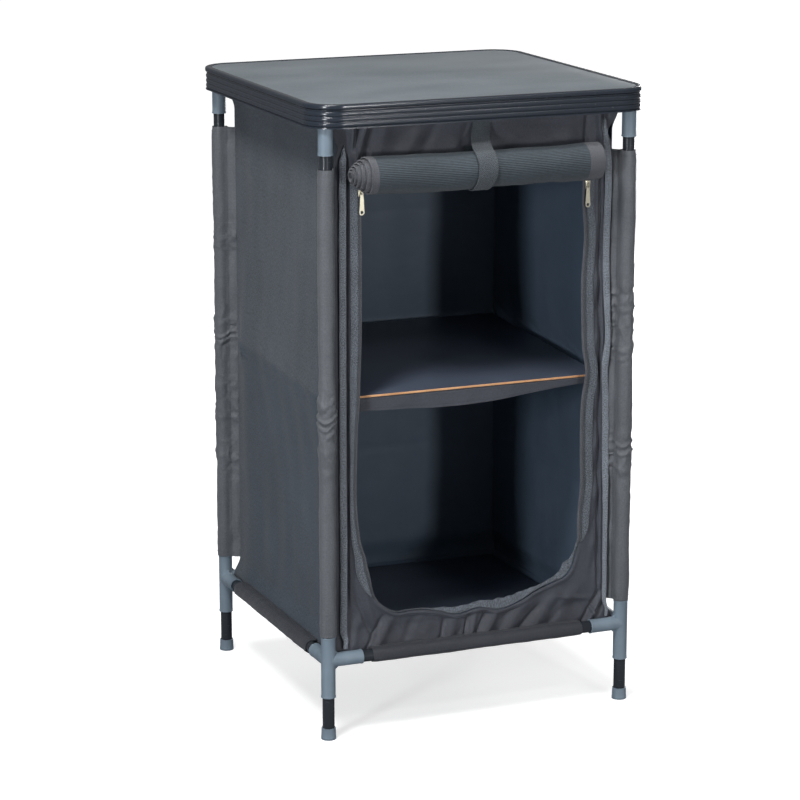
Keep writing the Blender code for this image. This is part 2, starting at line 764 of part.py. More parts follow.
def build_strap():
    """Hook-and-loop strap: from the header seam over the front of the roll,
    under it and up behind it to the same seam."""
    back_y = ROLL_Y + STRAP_R
    points = [(back_y - STRAP_LAP, STRAP_TOP_Z),
              (back_y - STRAP_FLARE, STRAP_TOP_Z - STRAP_BEND_DROP)]
    points += arc((ROLL_Y, ROLL_Z), STRAP_R, 135, 360, 20)
    points += [(back_y, ROLL_Z + STRAP_R), (back_y, STRAP_TOP_Z)]
    last = len(points) - 1

    def place(u, v):
        return (STRAP_X + STRAP_WIDTH * (u - 0.5), *points[round(v * last)])

    cloth_grid("roll_strap", 1, last, place, ((0.10, 0.11, 0.115), 0.9), STRAP_CLOTH)


# Zip


def build_zip_tape():
    """Fixed half of the zip: the coil on the doorway's edge and its tape."""
    coil = arc((0.0, 0.0), COIL_R, 30, 330, 6)
    profile = [(TAPE_WIDTH, -TAPE_HALF), (TAPE_WIDTH, TAPE_HALF)] + coil
    path = opening_path(0.0, OPENING_TOP_Z)
    mesh = sweep_mesh("zip_tape", profile, path)
    mesh.transform(Matrix.Translation((0, ZIP_Y, 0)) @ Matrix.Rotation(math.pi / 2, 4, "X"))
    add_object("zip_tape", mesh, ((0.14, 0.15, 0.155), 0.85))


def slider_mesh(name, faces):
    """Slider body round the coil, open towards the tape (+X), with a bridge
    on each of its faces for a pull."""
    depth = SLIDER_HALF_DEPTH
    inner = COIL_R + COIL_ROOM
    shell = [(SLIDER_MOUTH_X, -depth), (SLIDER_MOUTH_X, -inner), (SLIDER_WEB_X, -inner),
             (SLIDER_WEB_X, inner), (SLIDER_MOUTH_X, inner), (SLIDER_MOUTH_X, depth),
             (SLIDER_BACK_X, depth), (SLIDER_BACK_X, -depth)]
    body = add_object(name, plate_mesh(name, [shell], SLIDER_HEIGHT / 2))
    bevel(body, SLIDER_EDGE, segments=1, angle=60)
    for facing in faces:
        curve = bpy.data.curves.new(f"{name}_bridge", "CURVE")
        curve.dimensions = "3D"
        curve.bevel_depth = ARCH_WIRE_R
        curve.bevel_resolution = 1
        curve.use_fill_caps = True
        spline = curve.splines.new("POLY")
        bow = arc((0.0, 0.0), 1.0, -90, 90, 8)
        spline.points.add(len(bow) - 1)
        for point, (out, up) in zip(spline.points, bow):
            y = facing * (depth - ARCH_SINK + (ARCH_OUT + ARCH_SINK) * out)
            point.co = (ARCH_X, y, ARCH_HALF * up, 1.0)
        bridge_curve = add_object(curve.name, curve)
        bridge = evaluated_mesh(bridge_curve, weld=1e-6)
        bpy.data.objects.remove(bridge_curve)
        side = "front" if facing < 0 else "inner"
        boolean(body, add_object(f"{name}_bridge_{side}", bridge), "UNION")
    mesh = evaluated_mesh(body, weld=1e-6)
    bpy.data.objects.remove(body)
    return mesh


def pull_mesh():
    """Stamped tab, hung by the bar above its slot, with a hole at its tip."""
    side = [PULL_WAIST, PULL_SHOULDER, (PULL_TOP_HALF, PULL_BAR)]
    outline = arc((0.0, -PULL_LENGTH + PULL_TIP_R), PULL_TIP_R, 180, 360, 8)
    outline += side + [(-x, y) for x, y in reversed(side)]
    slot = arc((0.0, -PULL_BAR - PULL_SLOT_DEPTH), PULL_SLOT_R, 180, 360, 6)
    slot += [(PULL_SLOT_R, -PULL_BAR), (-PULL_SLOT_R, -PULL_BAR)]
    hole = arc((0.0, -PULL_LENGTH + PULL_HOLE_UP), PULL_HOLE_R, 0, 330, 11)
    stand = Matrix.Rotation(math.pi / 2, 4, "X")
    return plate_mesh("zip_pull", [outline, slot, hole], PULL_THICK / 2, stand)


def pull_pivot(key, facing):
    """The bar of a pull, inside the bridge of its slider."""
    side = -1.0 if key == "l" else 1.0
    x = side * (OPENING_HALF + ARCH_X)
    return (x, ZIP_Y + facing * (SLIDER_HALF_DEPTH + PULL_OUT), SLIDER_Z[key] - PULL_DROP)


def build_sliders():
    metal = ((0.72, 0.68, 0.56), 0.32, 1.0)
    one_sided = slider_mesh("zip_slider_single", (-1,))
    two_sided = slider_mesh("zip_slider_double", (-1, 1))
    one_sided.transform(Matrix.Scale(-1, 4, (1, 0, 0)))
    one_sided.flip_normals()
    for key, mesh, side in (("l", one_sided, -1.0), ("r", two_sided, 1.0)):
        where = Matrix.Translation((side * OPENING_HALF, ZIP_Y, SLIDER_Z[key]))
        add_object(f"zip_slider_{key}", mesh, metal, where)
    pull = pull_mesh()
    for name, key, facing in (("zip_pull_l", "l", -1), ("zip_pull_r", "r", -1),
                              ("zip_pull_r_inner", "r", 1)):
        where = Matrix.Translation(pull_pivot(key, facing))
        add_object(name, pull.copy(), metal, where)


for leftover in list(bpy.data.objects):
    bpy.data.objects.remove(leftover)
PARTS = new_collection("camping_cupboard")
CUTTERS = new_collection("cutters")
HOLDER = bpy.data.objects.new("frame_middle", None)
HOLDER.location.y = FRAME_BACK
PARTS.objects.link(HOLDER)
build_frame()
build_tabletop()
build_walls()
build_sleeves()
build_bindings()
build_boards()
build_sling()
build_roll()
build_strap()
build_zip_tape()
build_sliders()
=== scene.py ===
# %% [markdown]
# # Dressing a camping cupboard
#
# The cupboard is a frame of black tube with moulded grey corner pieces, a sewn
# fabric body that hangs in it, and a loose tabletop in a ribbed edge. The packed
# model already holds every size and every joint. This lesson gives it its looks:
# each rigid piece is modelled again with smooth edges, each cloth solid becomes a
# real sheet with folds and seams, and every surface gets a material of its own.

import math

import bmesh
import bpy
from mathutils import Matrix, Vector, noise


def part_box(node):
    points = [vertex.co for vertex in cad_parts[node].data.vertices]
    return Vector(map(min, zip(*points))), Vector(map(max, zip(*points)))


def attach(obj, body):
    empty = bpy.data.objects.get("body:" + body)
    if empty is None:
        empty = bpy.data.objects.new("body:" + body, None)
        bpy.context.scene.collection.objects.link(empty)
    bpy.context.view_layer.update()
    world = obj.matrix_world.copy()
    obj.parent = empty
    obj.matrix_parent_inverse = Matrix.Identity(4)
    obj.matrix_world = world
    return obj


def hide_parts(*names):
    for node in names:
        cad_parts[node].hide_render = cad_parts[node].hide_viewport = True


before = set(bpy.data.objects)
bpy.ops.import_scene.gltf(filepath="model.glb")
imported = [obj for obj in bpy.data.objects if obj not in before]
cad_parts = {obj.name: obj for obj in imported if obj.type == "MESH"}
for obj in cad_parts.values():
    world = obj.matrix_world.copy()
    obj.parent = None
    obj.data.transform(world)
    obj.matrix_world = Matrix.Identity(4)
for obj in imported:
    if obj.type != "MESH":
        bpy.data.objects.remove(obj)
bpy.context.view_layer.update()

# %% [markdown]
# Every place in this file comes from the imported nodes: the legs give the corners,
# the panels give the walls, and the rest is measured from those. Corners are named
# from the front, so `fl` is front left. The front looks towards -Y.

# %% Measure the frame
CORNERS = ("fl", "fr", "br", "bl")


def middle(node):
    low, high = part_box(node)
    return (low + high) / 2


LEG = {corner: middle(f"leg_pole_{corner}") for corner in CORNERS}
TUBE_R = (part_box("leg_pole_fl")[1].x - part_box("leg_pole_fl")[0].x) / 2
MIDDLE_Y = (LEG["fl"].y + LEG["bl"].y) / 2
LEG_X = LEG["fr"].x
LEG_Y = LEG["br"].y - MIDDLE_Y
LOW_RAIL_Z = middle("lower_rail_front").z
TOP_RAIL_Z = middle("upper_rail_front").z
WALL_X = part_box("floor_panel")[1].x - 0.0007
WALL_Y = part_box("floor_panel")[1].y - MIDDLE_Y - 0.0007
WALL_BOTTOM, WALL_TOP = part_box("left_panel")[0].z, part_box("left_panel")[1].z
print(f"legs {2 * LEG_X:.3f} x {2 * LEG_Y:.3f} m apart, walls at {WALL_X:.4f}, {WALL_Y:.4f}")

# %% [markdown]
# ## Camera
#
# The photograph was taken a little from the left and from above, with a long lens:
# the tabletop's sides hardly run together. The camera stands 4.8 m away and looks
# down by 13.6 degrees. A long lens tilted down keeps the legs nearly upright.

# %% Place the camera
FRAME_PIXELS = 800
SENSOR = 0.036
FOCAL_PIXELS = 3018
LOOK_DOWN, TURN_RIGHT = math.radians(13.58), math.radians(22.48)


def add_object(name, data):
    """Puts a camera, a lamp, a curve or a mesh into the scene."""
    obj = bpy.data.objects.new(name, data)
    bpy.context.scene.collection.objects.link(obj)
    return obj


camera_data = bpy.data.cameras.new("camera")
camera_data.sensor_width = SENSOR * 1000
camera_data.lens = SENSOR * 1000 * FOCAL_PIXELS / FRAME_PIXELS
camera = add_object("camera", camera_data)
camera.location = (-1.865, MIDDLE_Y - 4.428, 1.630)
camera.rotation_euler = (math.pi / 2 - LOOK_DOWN, 0.0, -TURN_RIGHT)
bpy.context.scene.camera = camera
print(f"lens {camera_data.lens:.1f} mm")

# %% [markdown]
# ## Building materials from expressions
#
# A node tree for cloth has dozens of sums in it, and wiring them one by one hides
# what they say. So a socket is wrapped in a small class whose operators add Math
# nodes: `1 - mask * 0.5` then reads as it works. Everything that isn't a number
# goes through `Look.node`, which takes a node's kind, its settings and its inputs.


# %% A socket that can be used in sums
class Signal:
    def __init__(self, look, socket):
        self.look = look
        self.socket = socket

    def math(self, operation, *others):
        return self.look.math(operation, self, *others)

    def __add__(self, other):
        return self.math("ADD", other)

    def __mul__(self, other):
        return self.math("MULTIPLY", other)

    def __sub__(self, other):
        return self.math("SUBTRACT", other)

    def __rsub__(self, other):
        return self.look.math("SUBTRACT", other, self)

    def __gt__(self, other):
        return self.math("GREATER_THAN", other)

    def __abs__(self):
        return self.math("ABSOLUTE")

    __radd__ = __add__
    __rmul__ = __mul__

    def sine(self):
        return self.math("SINE")

    def floor(self):
        return self.math("FLOOR")

    def ramp(self, low, high):
        """0 below low, 1 above high, and smooth in between."""
        settings = {"interpolation_type": "SMOOTHSTEP"}
        inputs = {0: self, 1: low, 2: high, 3: 0.0, 4: 1.0}
        return self.look.node("ShaderNodeMapRange", settings, inputs)


# %% A node tree and a material under construction
class Tree:
    def __init__(self, tree):
        self.tree = tree

    def node(self, kind, settings=None, inputs=None, out=0):
        made = self.tree.nodes.new(kind)
        for key, value in (settings or {}).items():
            setattr(made, key, value)
        for key, value in (inputs or {}).items():
            self.plug(made.inputs[key], value)
        return Signal(self, made.outputs[out])

    def plug(self, socket, value):
        if isinstance(value, Signal):
            self.tree.links.new(value.socket, socket)
        else:
            socket.default_value = value

    def math(self, operation, *values):
        return self.node("ShaderNodeMath", {"operation": operation}, dict(enumerate(values)))

    def blend(self, factor, first, second):
        inputs = {0: factor, 6: first, 7: second}
        return self.node("ShaderNodeMix", {"data_type": "RGBA"}, inputs, out=2)

    def camera_rays(self):
        """1 for the rays that draw the studio as a picture, 0 for its light."""
        rays = self.node("ShaderNodeLightPath").socket.node.outputs
        return Signal(self, rays["Is Camera Ray"])


class Look(Tree):
    def __init__(self, name, **fixed):
        self.material = bpy.data.materials.new(name)
        self.material.use_nodes = True
        super().__init__(self.material.node_tree)
        self.shader = self.tree.nodes["Principled BSDF"]
        self.feed(**fixed)

    def feed(self, **inputs):
        """Sets sockets of the shader: Base_Color stands for Base Color."""
        for key, value in inputs.items():
            self.plug(self.shader.inputs[key.replace("_", " ")], value)

    def uv(self):
        return self.node("ShaderNodeUVMap")

    def place(self):
        return self.node("ShaderNodeTexCoord", out=3)

    def parts(self, vector):
        split = self.node("ShaderNodeSeparateXYZ", inputs={0: vector})
        return [Signal(self, socket) for socket in split.socket.node.outputs]

    def stretch(self, vector, scale):
        return self.node("ShaderNodeVectorMath", {"operation": "MULTIPLY"}, {0: vector, 1: scale})

    def noise(self, vector, scale, detail=2.0, rough=0.5):
        inputs = {"Vector": vector, "Scale": scale, "Detail": detail, "Roughness": rough}
        return self.node("ShaderNodeTexNoise", inputs=inputs)

    def finish(self, colour, rough, height, distance, strength):
        """Plugs in the colour, the roughness and a bump, and hands the material over."""
        inputs = {"Height": height, "Distance": distance, "Strength": strength}
        self.feed(Base_Color=colour, Roughness=rough, Normal=self.node("ShaderNodeBump", inputs=inputs))
        return self.material


def tone(red, green, blue):
    """A colour as a screen shows it, 0 to 255, in the linear values of a shader."""
    return (*[(level / 255) ** 2.2 for level in (red, green, blue)], 1.0)


print("material helpers ready")

# %% [markdown]
# ## Cloth
#
# The walls are plain-woven polyester: thick threads, each a slightly different grey,
# which gives the cloth its heathered look from a step away. A plain weave is a
# chequerboard of threads that pass over and under, so two sine waves and their
# product's sign give its height. Reading the cloth's own UV map, laid out in metres,
# keeps the weave on the thread whatever way the cloth is folded. Below a line of that
# layout the colour can be darkened as painted shade, where the cloth hangs slack and
# turns from the light.


# %% Woven cloth
def thread_tones(look, across, along):
    """-1 to 1: a step for each thread, both ways."""
    warp = look.node("ShaderNodeTexWhiteNoise", {"noise_dimensions": "1D"}, {"W": across.floor()})
    weft = look.node("ShaderNodeTexWhiteNoise", {"noise_dimensions": "1D"}, {"W": along.floor()})
    return (warp + weft) - 1.0


def woven(name, dark, light, pitch=0.0009, slub=1.0, rough=0.80, sag_and_painted_shade=None):
    """The last argument holds the height and rise of a line below which the colour is
    darkened as painted shade, by how much, over what height that changes, and the cloth's width."""
    look = Look(name, Sheen_Weight=0.10, Sheen_Roughness=0.5, Specular_IOR_Level=0.40)
    flat = look.uv()
    across, along, _ = look.parts(look.stretch(flat, (1 / pitch, 1 / pitch, 1.0)))
    warp = (across * math.pi).sine()
    weft = (along * math.pi).sine()
    over = (warp * weft) > 0.0
    height = over * abs(weft) + (1.0 - over) * abs(warp)
    slubs = look.noise(look.stretch(flat, (640.0, 210.0, 1.0)), 1.0, 2.0) - 0.5
    cross_slubs = look.noise(look.stretch(flat, (230.0, 640.0, 1.0)), 1.0, 2.0) - 0.5
    fleck = look.noise(flat, 800.0, 2.0) - 0.5
    clouds = look.noise(flat, 7.0, 4.0, 0.6) - 0.5
    heather = slubs * (1.5 * slub) + cross_slubs * (1.1 * slub) + fleck * 0.7
    shade = 0.5 + heather + clouds * 0.55 + thread_tones(look, across, along) * 0.05
    # Painted shade: the hollows between the threads are darkened.
    shade = shade - (1.0 - height) * 0.14
    colour = look.blend(shade.ramp(-0.1, 1.1), dark, light)
    # Painted shade: below a sloping line of the layout, the colour is multiplied by a darker tone.
    if sag_and_painted_shade:
        line, rise, darker, change, width = sag_and_painted_shade
        run, up, _ = look.parts(flat)
        jagged = look.noise(flat, 26.0, 3.0, 0.6) - 0.5
        below = (run * rise + jagged * 0.020 - up + line).ramp(-change / 4, change)
        inside = (0.5 - abs(run * (1 / width) - 0.52)).ramp(0.02, 0.16)
        settings = {"data_type": "RGBA", "blend_type": "MULTIPLY"}
        colour = look.node("ShaderNodeMix", settings, {0: below * inside, 6: colour, 7: darker}, out=2)
    return look.finish(colour, rough - clouds * 0.12, height + slubs * 0.8, 0.00022, 0.55)


# The walls, the front and the sleeves take one woven cloth in different tones, set by the light each part
# gets: the walls' bluer, the front's darker and warmer, the sleeves' lighter. This is painted light and
# shade.
WALL_TONES = (tone(48, 54, 61), tone(87, 94, 102))
CLOTH = woven("wall_cloth", *WALL_TONES)
# Tone multiplied into a side wall's colour below the shelf's line: painted shade.
PAINTED_SHADE_TONE = tone(216, 228, 238)
FRONT_TONES = (tone(46, 48, 55), tone(80, 83, 92))
FRONT_CLOTH = woven("front_cloth", *FRONT_TONES, slub=0.35, rough=0.46)
HEM_CLOTH = woven("hem_cloth", tone(37, 39, 45), tone(64, 67, 74), slub=0.35, rough=0.46)
SLEEVE_CLOTH = woven("sleeve_cloth", tone(68, 71, 75), tone(108, 111, 116), slub=0.35, rough=0.46)
print("woven cloth ready")

# %% [markdown]
# The back of the cloth is coated against rain. The coating is dark blue-black, it
# fills the weave, and it crinkles a little where the cloth was folded for packing.


# %% Coated back of the cloth
def coated(name, dark, light):
    look = Look(name, Specular_IOR_Level=0.42)
    flat = look.uv()
    crinkles = look.noise(flat, 38.0, 5.0, 0.62)
    grain = look.noise(flat, 700.0, 1.0)
    clouds = look.noise(flat, 5.0, 3.0)
    return look.finish(look.blend((clouds * 0.8 + crinkles * 0.3 - 0.05), dark, light),
                       0.42 + clouds * 0.16, crinkles + grain * 0.12, 0.0014, 0.4)


# Painted light: both tones are lifted well above the coating's dark blue-black, for the dim inside of the
# body.
COATING = coated("wall_coating", tone(63, 76, 90), tone(90, 104, 120))
print("coating ready")

# %% [markdown]
# Tapes, bindings and the strap are narrow woven bands with a coarse herringbone. The
# rolled door is a knitted mesh: cords run along it, joined by thin cross threads. It
# is drawn solid, and the holes between them are painted dark: painted shade of the
# roll's inner turns.


# %% Tape and mesh
def banded(name, dark, light, pitch, flecked=0.5):
    look = Look(name, Sheen_Weight=0.15, Specular_IOR_Level=0.3)
    flat = look.uv()
    across, along, _ = look.parts(look.stretch(flat, (1 / pitch, 1 / pitch, 1.0)))
    zigzag = abs(across.math("FRACT") - 0.5) * 2.0
    twill = ((along + zigzag) * (2 * math.pi)).sine()
    fleck = look.noise(flat, 560.0, 2.0) - 0.5
    clouds = look.noise(flat, 30.0, 3.0) - 0.5
    shade = 0.5 + twill * 0.34 + fleck * (3.0 * flecked) + clouds * 0.4
    return look.finish(look.blend(shade.ramp(0.0, 1.0), dark, light),
                       0.88 - clouds * 0.12, twill + fleck * 2.0, 0.0004, 0.7)


def knitted(name, hole, cord, pitch):
    look = Look(name, Sheen_Weight=0.10, Specular_IOR_Level=0.38)
    flat = look.uv()
    along, around, _ = look.parts(look.stretch(flat, (2 / pitch, 1 / pitch, 1.0)))
    cords = abs((around * math.pi).sine())
    links = abs((along * math.pi).sine())
    solid = cords.math("MAXIMUM", links * 0.62)
    glints = look.noise(look.stretch(flat, (160.0, 420.0, 1.0)), 1.0, 2.0) - 0.5
    clouds = look.noise(flat, 14.0, 4.0) - 0.5
    # Painted shade: where neither cord nor link is, the hole colour darkens the mesh.
    shade = solid.ramp(0.30, 1.0) + glints * 0.9 + clouds * 0.5
    return look.finish(look.blend(shade.ramp(0.0, 1.1), hole, cord),
                       0.62 + clouds * 0.2, solid, 0.0008, 0.8)


TAPE = banded("edge_tape", tone(50, 54, 61), tone(128, 135, 144), 0.0021, 0.7)
BINDING = banded("binding_tape", tone(66, 71, 78), tone(152, 159, 168), 0.0021, 0.6)
STRAP = banded("strap_webbing", tone(40, 45, 50), tone(94, 101, 107), 0.0028, 0.6)
DOOR_MESH = knitted("door_mesh", tone(22, 28, 32), tone(72, 82, 89), 0.0026)
ROLL_EDGE = banded("roll_edge", tone(62, 64, 70), tone(108, 110, 116), 0.0016, 0.35)
THREAD = banded("sewing_thread", tone(54, 58, 63), tone(92, 97, 103), 0.0004, 0.2)
print("tape, strap and mesh ready")

# %% [markdown]
# ## Hard surfaces
#
# The tubes are powder coated in gloss black, with a faint orange peel. The corner
# pieces are spark-textured blue-grey moulding. The tabletop's edge is a satin
# blue-black profile, drawn lengthwise, so fine lines run along it. All of them read
# Object coordinates, because they have no cloth layout to follow.


# %% Tubes, mouldings and the tabletop's edge
look = Look("tube_black", Specular_IOR_Level=0.40)
here = look.place()
peel = look.noise(here, 900.0, 1.0)
scuffs = look.noise(look.stretch(here, (60.0, 60.0, 500.0)), 1.0, 4.0).ramp(0.62, 0.78)
# Painted reflection: the tones are lifted above the coat's black to stand for the pale studio mirrored in
# it, which glossy rays see only dimly.
TUBE_BLACK = look.finish(look.blend(scuffs * 0.35, tone(43, 47, 52), tone(80, 86, 92)),
                         0.20 + scuffs * 0.25, peel, 0.00012, 0.35)

look = Look("moulding_grey", Specular_IOR_Level=0.40)
here = look.place()
spark = look.noise(here, 1800.0, 2.0)
flow = look.noise(look.stretch(here, (30.0, 30.0, 12.0)), 1.0, 3.0)
MOULDING = look.finish(look.blend(flow.ramp(0.25, 0.75), tone(99, 113, 124), tone(118, 132, 144)),
                       0.42 + spark * 0.14, spark + flow * 0.6, 0.00018, 0.5)

look = Look("rim_satin", Specular_IOR_Level=0.50)
here = look.place()
lines = look.noise(look.stretch(here, (3.0, 3.0, 2600.0)), 1.0, 2.0)
dust = look.noise(here, 260.0, 3.0).ramp(0.60, 0.80)
RIM_SATIN = look.finish(look.blend(lines * 0.5 + dust * 0.25, tone(37, 42, 50), tone(58, 64, 72)),
                        0.15 + lines * 0.08 + dust * 0.12, lines + dust * 0.3, 0.00008, 0.5)
print("hard finishes ready")


# %% [markdown]
# The tabletop is a grey laminate with a fine pearl print. The shelf board and the
# base board are hardboard under a black foil with a leather-like grain. Their sawn
# edges show bare brown fibre.


# %% Laminate, foil and sawn edge
look = Look("table_laminate", Specular_IOR_Level=0.08)
here = look.place()
pearl = look.noise(here, 620.0, 3.0, 0.7)
clouds = look.noise(look.stretch(here, (5.0, 9.0, 5.0)), 1.0, 3.0)
wipes = look.noise(look.stretch(here, (240.0, 18.0, 1.0)), 1.0, 3.0).ramp(0.55, 0.8)
shade = pearl * 0.55 + clouds * 0.45
LAMINATE = look.finish(look.blend(shade.ramp(0.25, 0.75), tone(91, 97, 101), tone(115, 121, 125)),
                       0.62 + pearl * 0.12 + wipes * 0.05, pearl, 0.00010, 0.4)

look = Look("board_black", Specular_IOR_Level=0.45)
here = look.place()
cells = look.node("ShaderNodeTexVoronoi", {"feature": "DISTANCE_TO_EDGE"},
                  {"Vector": here, "Scale": 420.0})
clouds = look.noise(here, 12.0, 3.0)
# Painted light: the foil's tones are lifted from black to blue-grey, for the dim inside of the body.
FOIL = look.finish(look.blend(clouds, tone(62, 70, 84), tone(92, 100, 116)),
                   0.36 + clouds * 0.14, cells.ramp(0.0, 0.2), 0.00015, 0.5)

look = Look("sawn_edge")
here = look.place()
fibre = look.noise(look.stretch(here, (500.0, 500.0, 2500.0)), 1.0, 4.0, 0.7)
burn = look.noise(look.stretch(here, (22.0, 22.0, 1.0)), 1.0, 2.0)
shade = fibre * 0.6 + burn * 0.4
SAWN_EDGE = look.finish(look.blend(shade.ramp(0.3, 0.7), tone(178, 124, 84), tone(226, 178, 132)),
                        0.85, fibre, 0.0003, 0.6)
print("board finishes ready")


# %% [markdown]
# The zip's coil is black nylon. Its sliders and pulls are die-cast and plated in a
# pale warm metal, worn a little at the edges.


# %% Zip finishes
look = Look("zip_nylon", Specular_IOR_Level=0.5)
here = look.place()
grain = look.noise(here, 2500.0, 1.0)
NYLON = look.finish(look.blend(grain, tone(52, 56, 60), tone(92, 98, 102)),
                    0.40 + grain * 0.12, grain, 0.00006, 0.4)

look = Look("zip_metal", Metallic=0.85)
here = look.place()
casting = look.noise(here, 700.0, 3.0)
wear = look.noise(here, 160.0, 3.0).ramp(0.55, 0.75)
PLATED = look.finish(look.blend(wear * 0.6, tone(196, 190, 170), tone(158, 148, 120)),
                     0.26 + casting * 0.10 + wear * 0.12, casting, 0.00010, 0.4)
print("zip finishes ready")

# %% [markdown]
# ## Tools for modelling
#
# A piece starts as a primitive, with nothing else selected, and its place goes into
# its mesh at once. From then on the coordinates seen in edit mode are the real ones,
# so faces can be picked by where they are and which way they face.


# %% Start, pick and finish
def start(kind, name, **settings):
    """Adds one primitive and moves its place into its mesh."""
    bpy.ops.object.select_all(action="DESELECT")
    getattr(bpy.ops.mesh, f"primitive_{kind}_add")(**settings)
    obj = bpy.context.object
    obj.name = name
    obj.data.name = name
    bpy.ops.object.transform_apply(location=True, rotation=True, scale=True)
    return obj


def activate(obj):
    """Makes an object the only selected one and the active one."""
    bpy.ops.object.select_all(action="DESELECT")
    bpy.context.view_layer.objects.active = obj
    obj.select_set(True)


def edit(obj):
    activate(obj)
    bpy.ops.object.mode_set(mode="EDIT")


def leave():
    bpy.ops.object.mode_set(mode="OBJECT")


def pick(obj, kind, test):
    """In edit mode, selects the faces or the edges that pass a test."""
    bpy.ops.mesh.select_mode(type=kind)
    bpy.ops.mesh.select_all(action="DESELECT")
    mesh = bmesh.from_edit_mesh(obj.data)
    for part in (mesh.faces if kind == "FACE" else mesh.edges):
        part.select_set(test(part))
    bmesh.update_edit_mesh(obj.data)


def pick_end(obj, outward, spot=None, reach=math.inf):
    """In edit mode, selects the faces that look one way, within reach of a spot."""
    pick(obj, "FACE", lambda face: face.normal.dot(outward) > 0.9
         and (spot is None or (face.calc_center_median() - spot).length < reach))


def extrude(offset):
    bpy.ops.mesh.extrude_region_move(TRANSFORM_OT_translate={"value": offset})


def turn_faces_out(obj, merge=0.0):
    """Makes all faces look outwards, once points that lie together are merged."""
    edit(obj)
    bpy.ops.mesh.select_all(action="SELECT")
    if merge:
        bpy.ops.mesh.remove_doubles(threshold=merge)
    bpy.ops.mesh.normals_make_consistent(inside=False)
    leave()


def modifier(obj, kind, **settings):
    """Adds a modifier and applies it."""
    activate(obj)
    added = obj.modifiers.new(kind.title(), kind)
    for key, value in settings.items():
        setattr(added, key, value)
    bpy.ops.object.modifier_apply(modifier=added.name)


def soften(obj, width, segments=2, angle=40):
    modifier(obj, "BEVEL", width=width, segments=segments, limit_method="ANGLE",
             angle_limit=math.radians(angle), use_clamp_overlap=True)


def dress(obj, body, slot, *materials, node=None, smooth=35):
    """Shades a finished piece, gives it its materials and lets it ride on a body. It
    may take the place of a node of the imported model."""
    activate(obj)
    bpy.ops.object.shade_smooth_by_angle(angle=math.radians(smooth))
    for material in materials:
        obj.data.materials.append(material)
    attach(obj, body)
    if node:
        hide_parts(node)


BODY = "cupboard"
print("modelling tools ready")

# %% [markdown]
# ## Tubes
#
# A tube is a cylinder whose two ends are inset by the wall and pushed in, so that it
# is hollow where it shows. Only its ends have edges, and a narrow bevel takes the
# saw's burr off them.


# %% Tubes of the frame
TUBE_WALL = 0.0010
BORE_DEPTH = 0.012


def tube(name, node, axis):
    low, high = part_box(node)
    centre = (low + high) / 2
    along = Vector((axis == "x", axis == "y", axis == "z"))
    length = (high - low).dot(along)
    turn = along.to_track_quat("Z", "Y").to_euler()
    obj = start("cylinder", name, vertices=48, radius=TUBE_R, depth=length,
                location=centre, rotation=turn)
    edit(obj)
    for side in (-1, 1):
        outward = along * side
        end = centre + outward * length / 2
        pick_end(obj, outward, end, TUBE_R)
        bpy.ops.mesh.inset(thickness=TUBE_WALL)
        extrude(outward * -BORE_DEPTH)
    leave()
    soften(obj, 0.00025)
    dress(obj, BODY, "tube_black", TUBE_BLACK, node=node)


for corner in CORNERS:
    tube(f"pole_{corner}", f"leg_pole_{corner}", "z")
    tube(f"stub_{corner}", f"leg_stub_{corner}", "z")
for side, axis in (("front", "x"), ("back", "x"), ("left", "y"), ("right", "y")):
    tube(f"low_rail_{side}", f"lower_rail_{side}", axis)
    tube(f"top_rail_{side}", f"upper_rail_{side}", axis)
print("16 tubes")

# %% [markdown]
# ## Corner mouldings
#
# Each corner piece is one moulding: an upright barrel, two branches for the rails
# and thin webs that stiffen the angles. The barrels end in a raised lip round the
# mouth. It is modelled once for the front left corner, joined with Booleans, edged
# with a small bevel as a mould would, and then turned for the other corners.


# %% Parts of a moulding
BARREL_R = 0.0113
BRANCH_R = 0.0111
LIP_OUT, LIP_LONG = 0.0005, 0.0026
LIP_STEP = 0.0004
SOCKET_DEPTH = 0.020
MOUTH_R = 0.0098
BRANCH_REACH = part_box("lower_connector_fl")[1].x - LEG["fl"].x
WEB_RUN, WEB_THICK = 0.027, 0.0034


def barrel(name, base, mouth, radius, open_base=False):
    """A moulded socket from base to mouth, with a lip round each open end."""
    along = (mouth - base).normalized()
    length = (mouth - base).length
    obj = start("cylinder", name, vertices=64, radius=radius, depth=length - 2 * LIP_LONG,
                location=(base + mouth) / 2, rotation=along.to_track_quat("Z", "Y").to_euler())
    edit(obj)
    grow = (radius + LIP_OUT) / radius
    for outward, tip, has_mouth in ((along, mouth, True), (-along, base, open_base)):
        root = tip - outward * LIP_LONG
        pick_end(obj, outward, root, 0.004)
        if has_mouth:
            extrude(outward * LIP_STEP)
            bpy.ops.transform.resize(value=(grow, grow, grow), center_override=root + outward * LIP_STEP)
            extrude(outward * (LIP_LONG - LIP_STEP))
            bpy.ops.mesh.inset(thickness=radius + LIP_OUT - MOUTH_R)
            extrude(outward * -SOCKET_DEPTH)
        else:
            extrude(outward * LIP_LONG)
    leave()
    return obj


def web(centre, along, run_up, run_down):
    """A thin three-cornered plate in the plane of the post and a branch."""
    middle_up = Vector((0, 0, (run_up - run_down) / 2))
    size = (WEB_RUN if along.x else WEB_THICK, WEB_RUN if along.y else WEB_THICK, run_up + run_down)
    obj = start("cube", "web", size=1.0, location=centre + along * WEB_RUN / 2 + middle_up, scale=size)
    edit(obj)
    tip = centre + along * WEB_RUN
    for run, up in ((run_up, 1.0), (run_down, -1.0)):
        bpy.ops.mesh.select_all(action="SELECT")
        slope = (along * run + Vector((0, 0, up * WEB_RUN))).normalized()
        bpy.ops.mesh.bisect(plane_co=tip, plane_no=slope, clear_outer=True, use_fill=True)
    leave()
    return obj


def join_solids(body, others):
    for other in others:
        modifier(body, "BOOLEAN", operation="UNION", object=other, solver="EXACT")
        bpy.data.objects.remove(other)


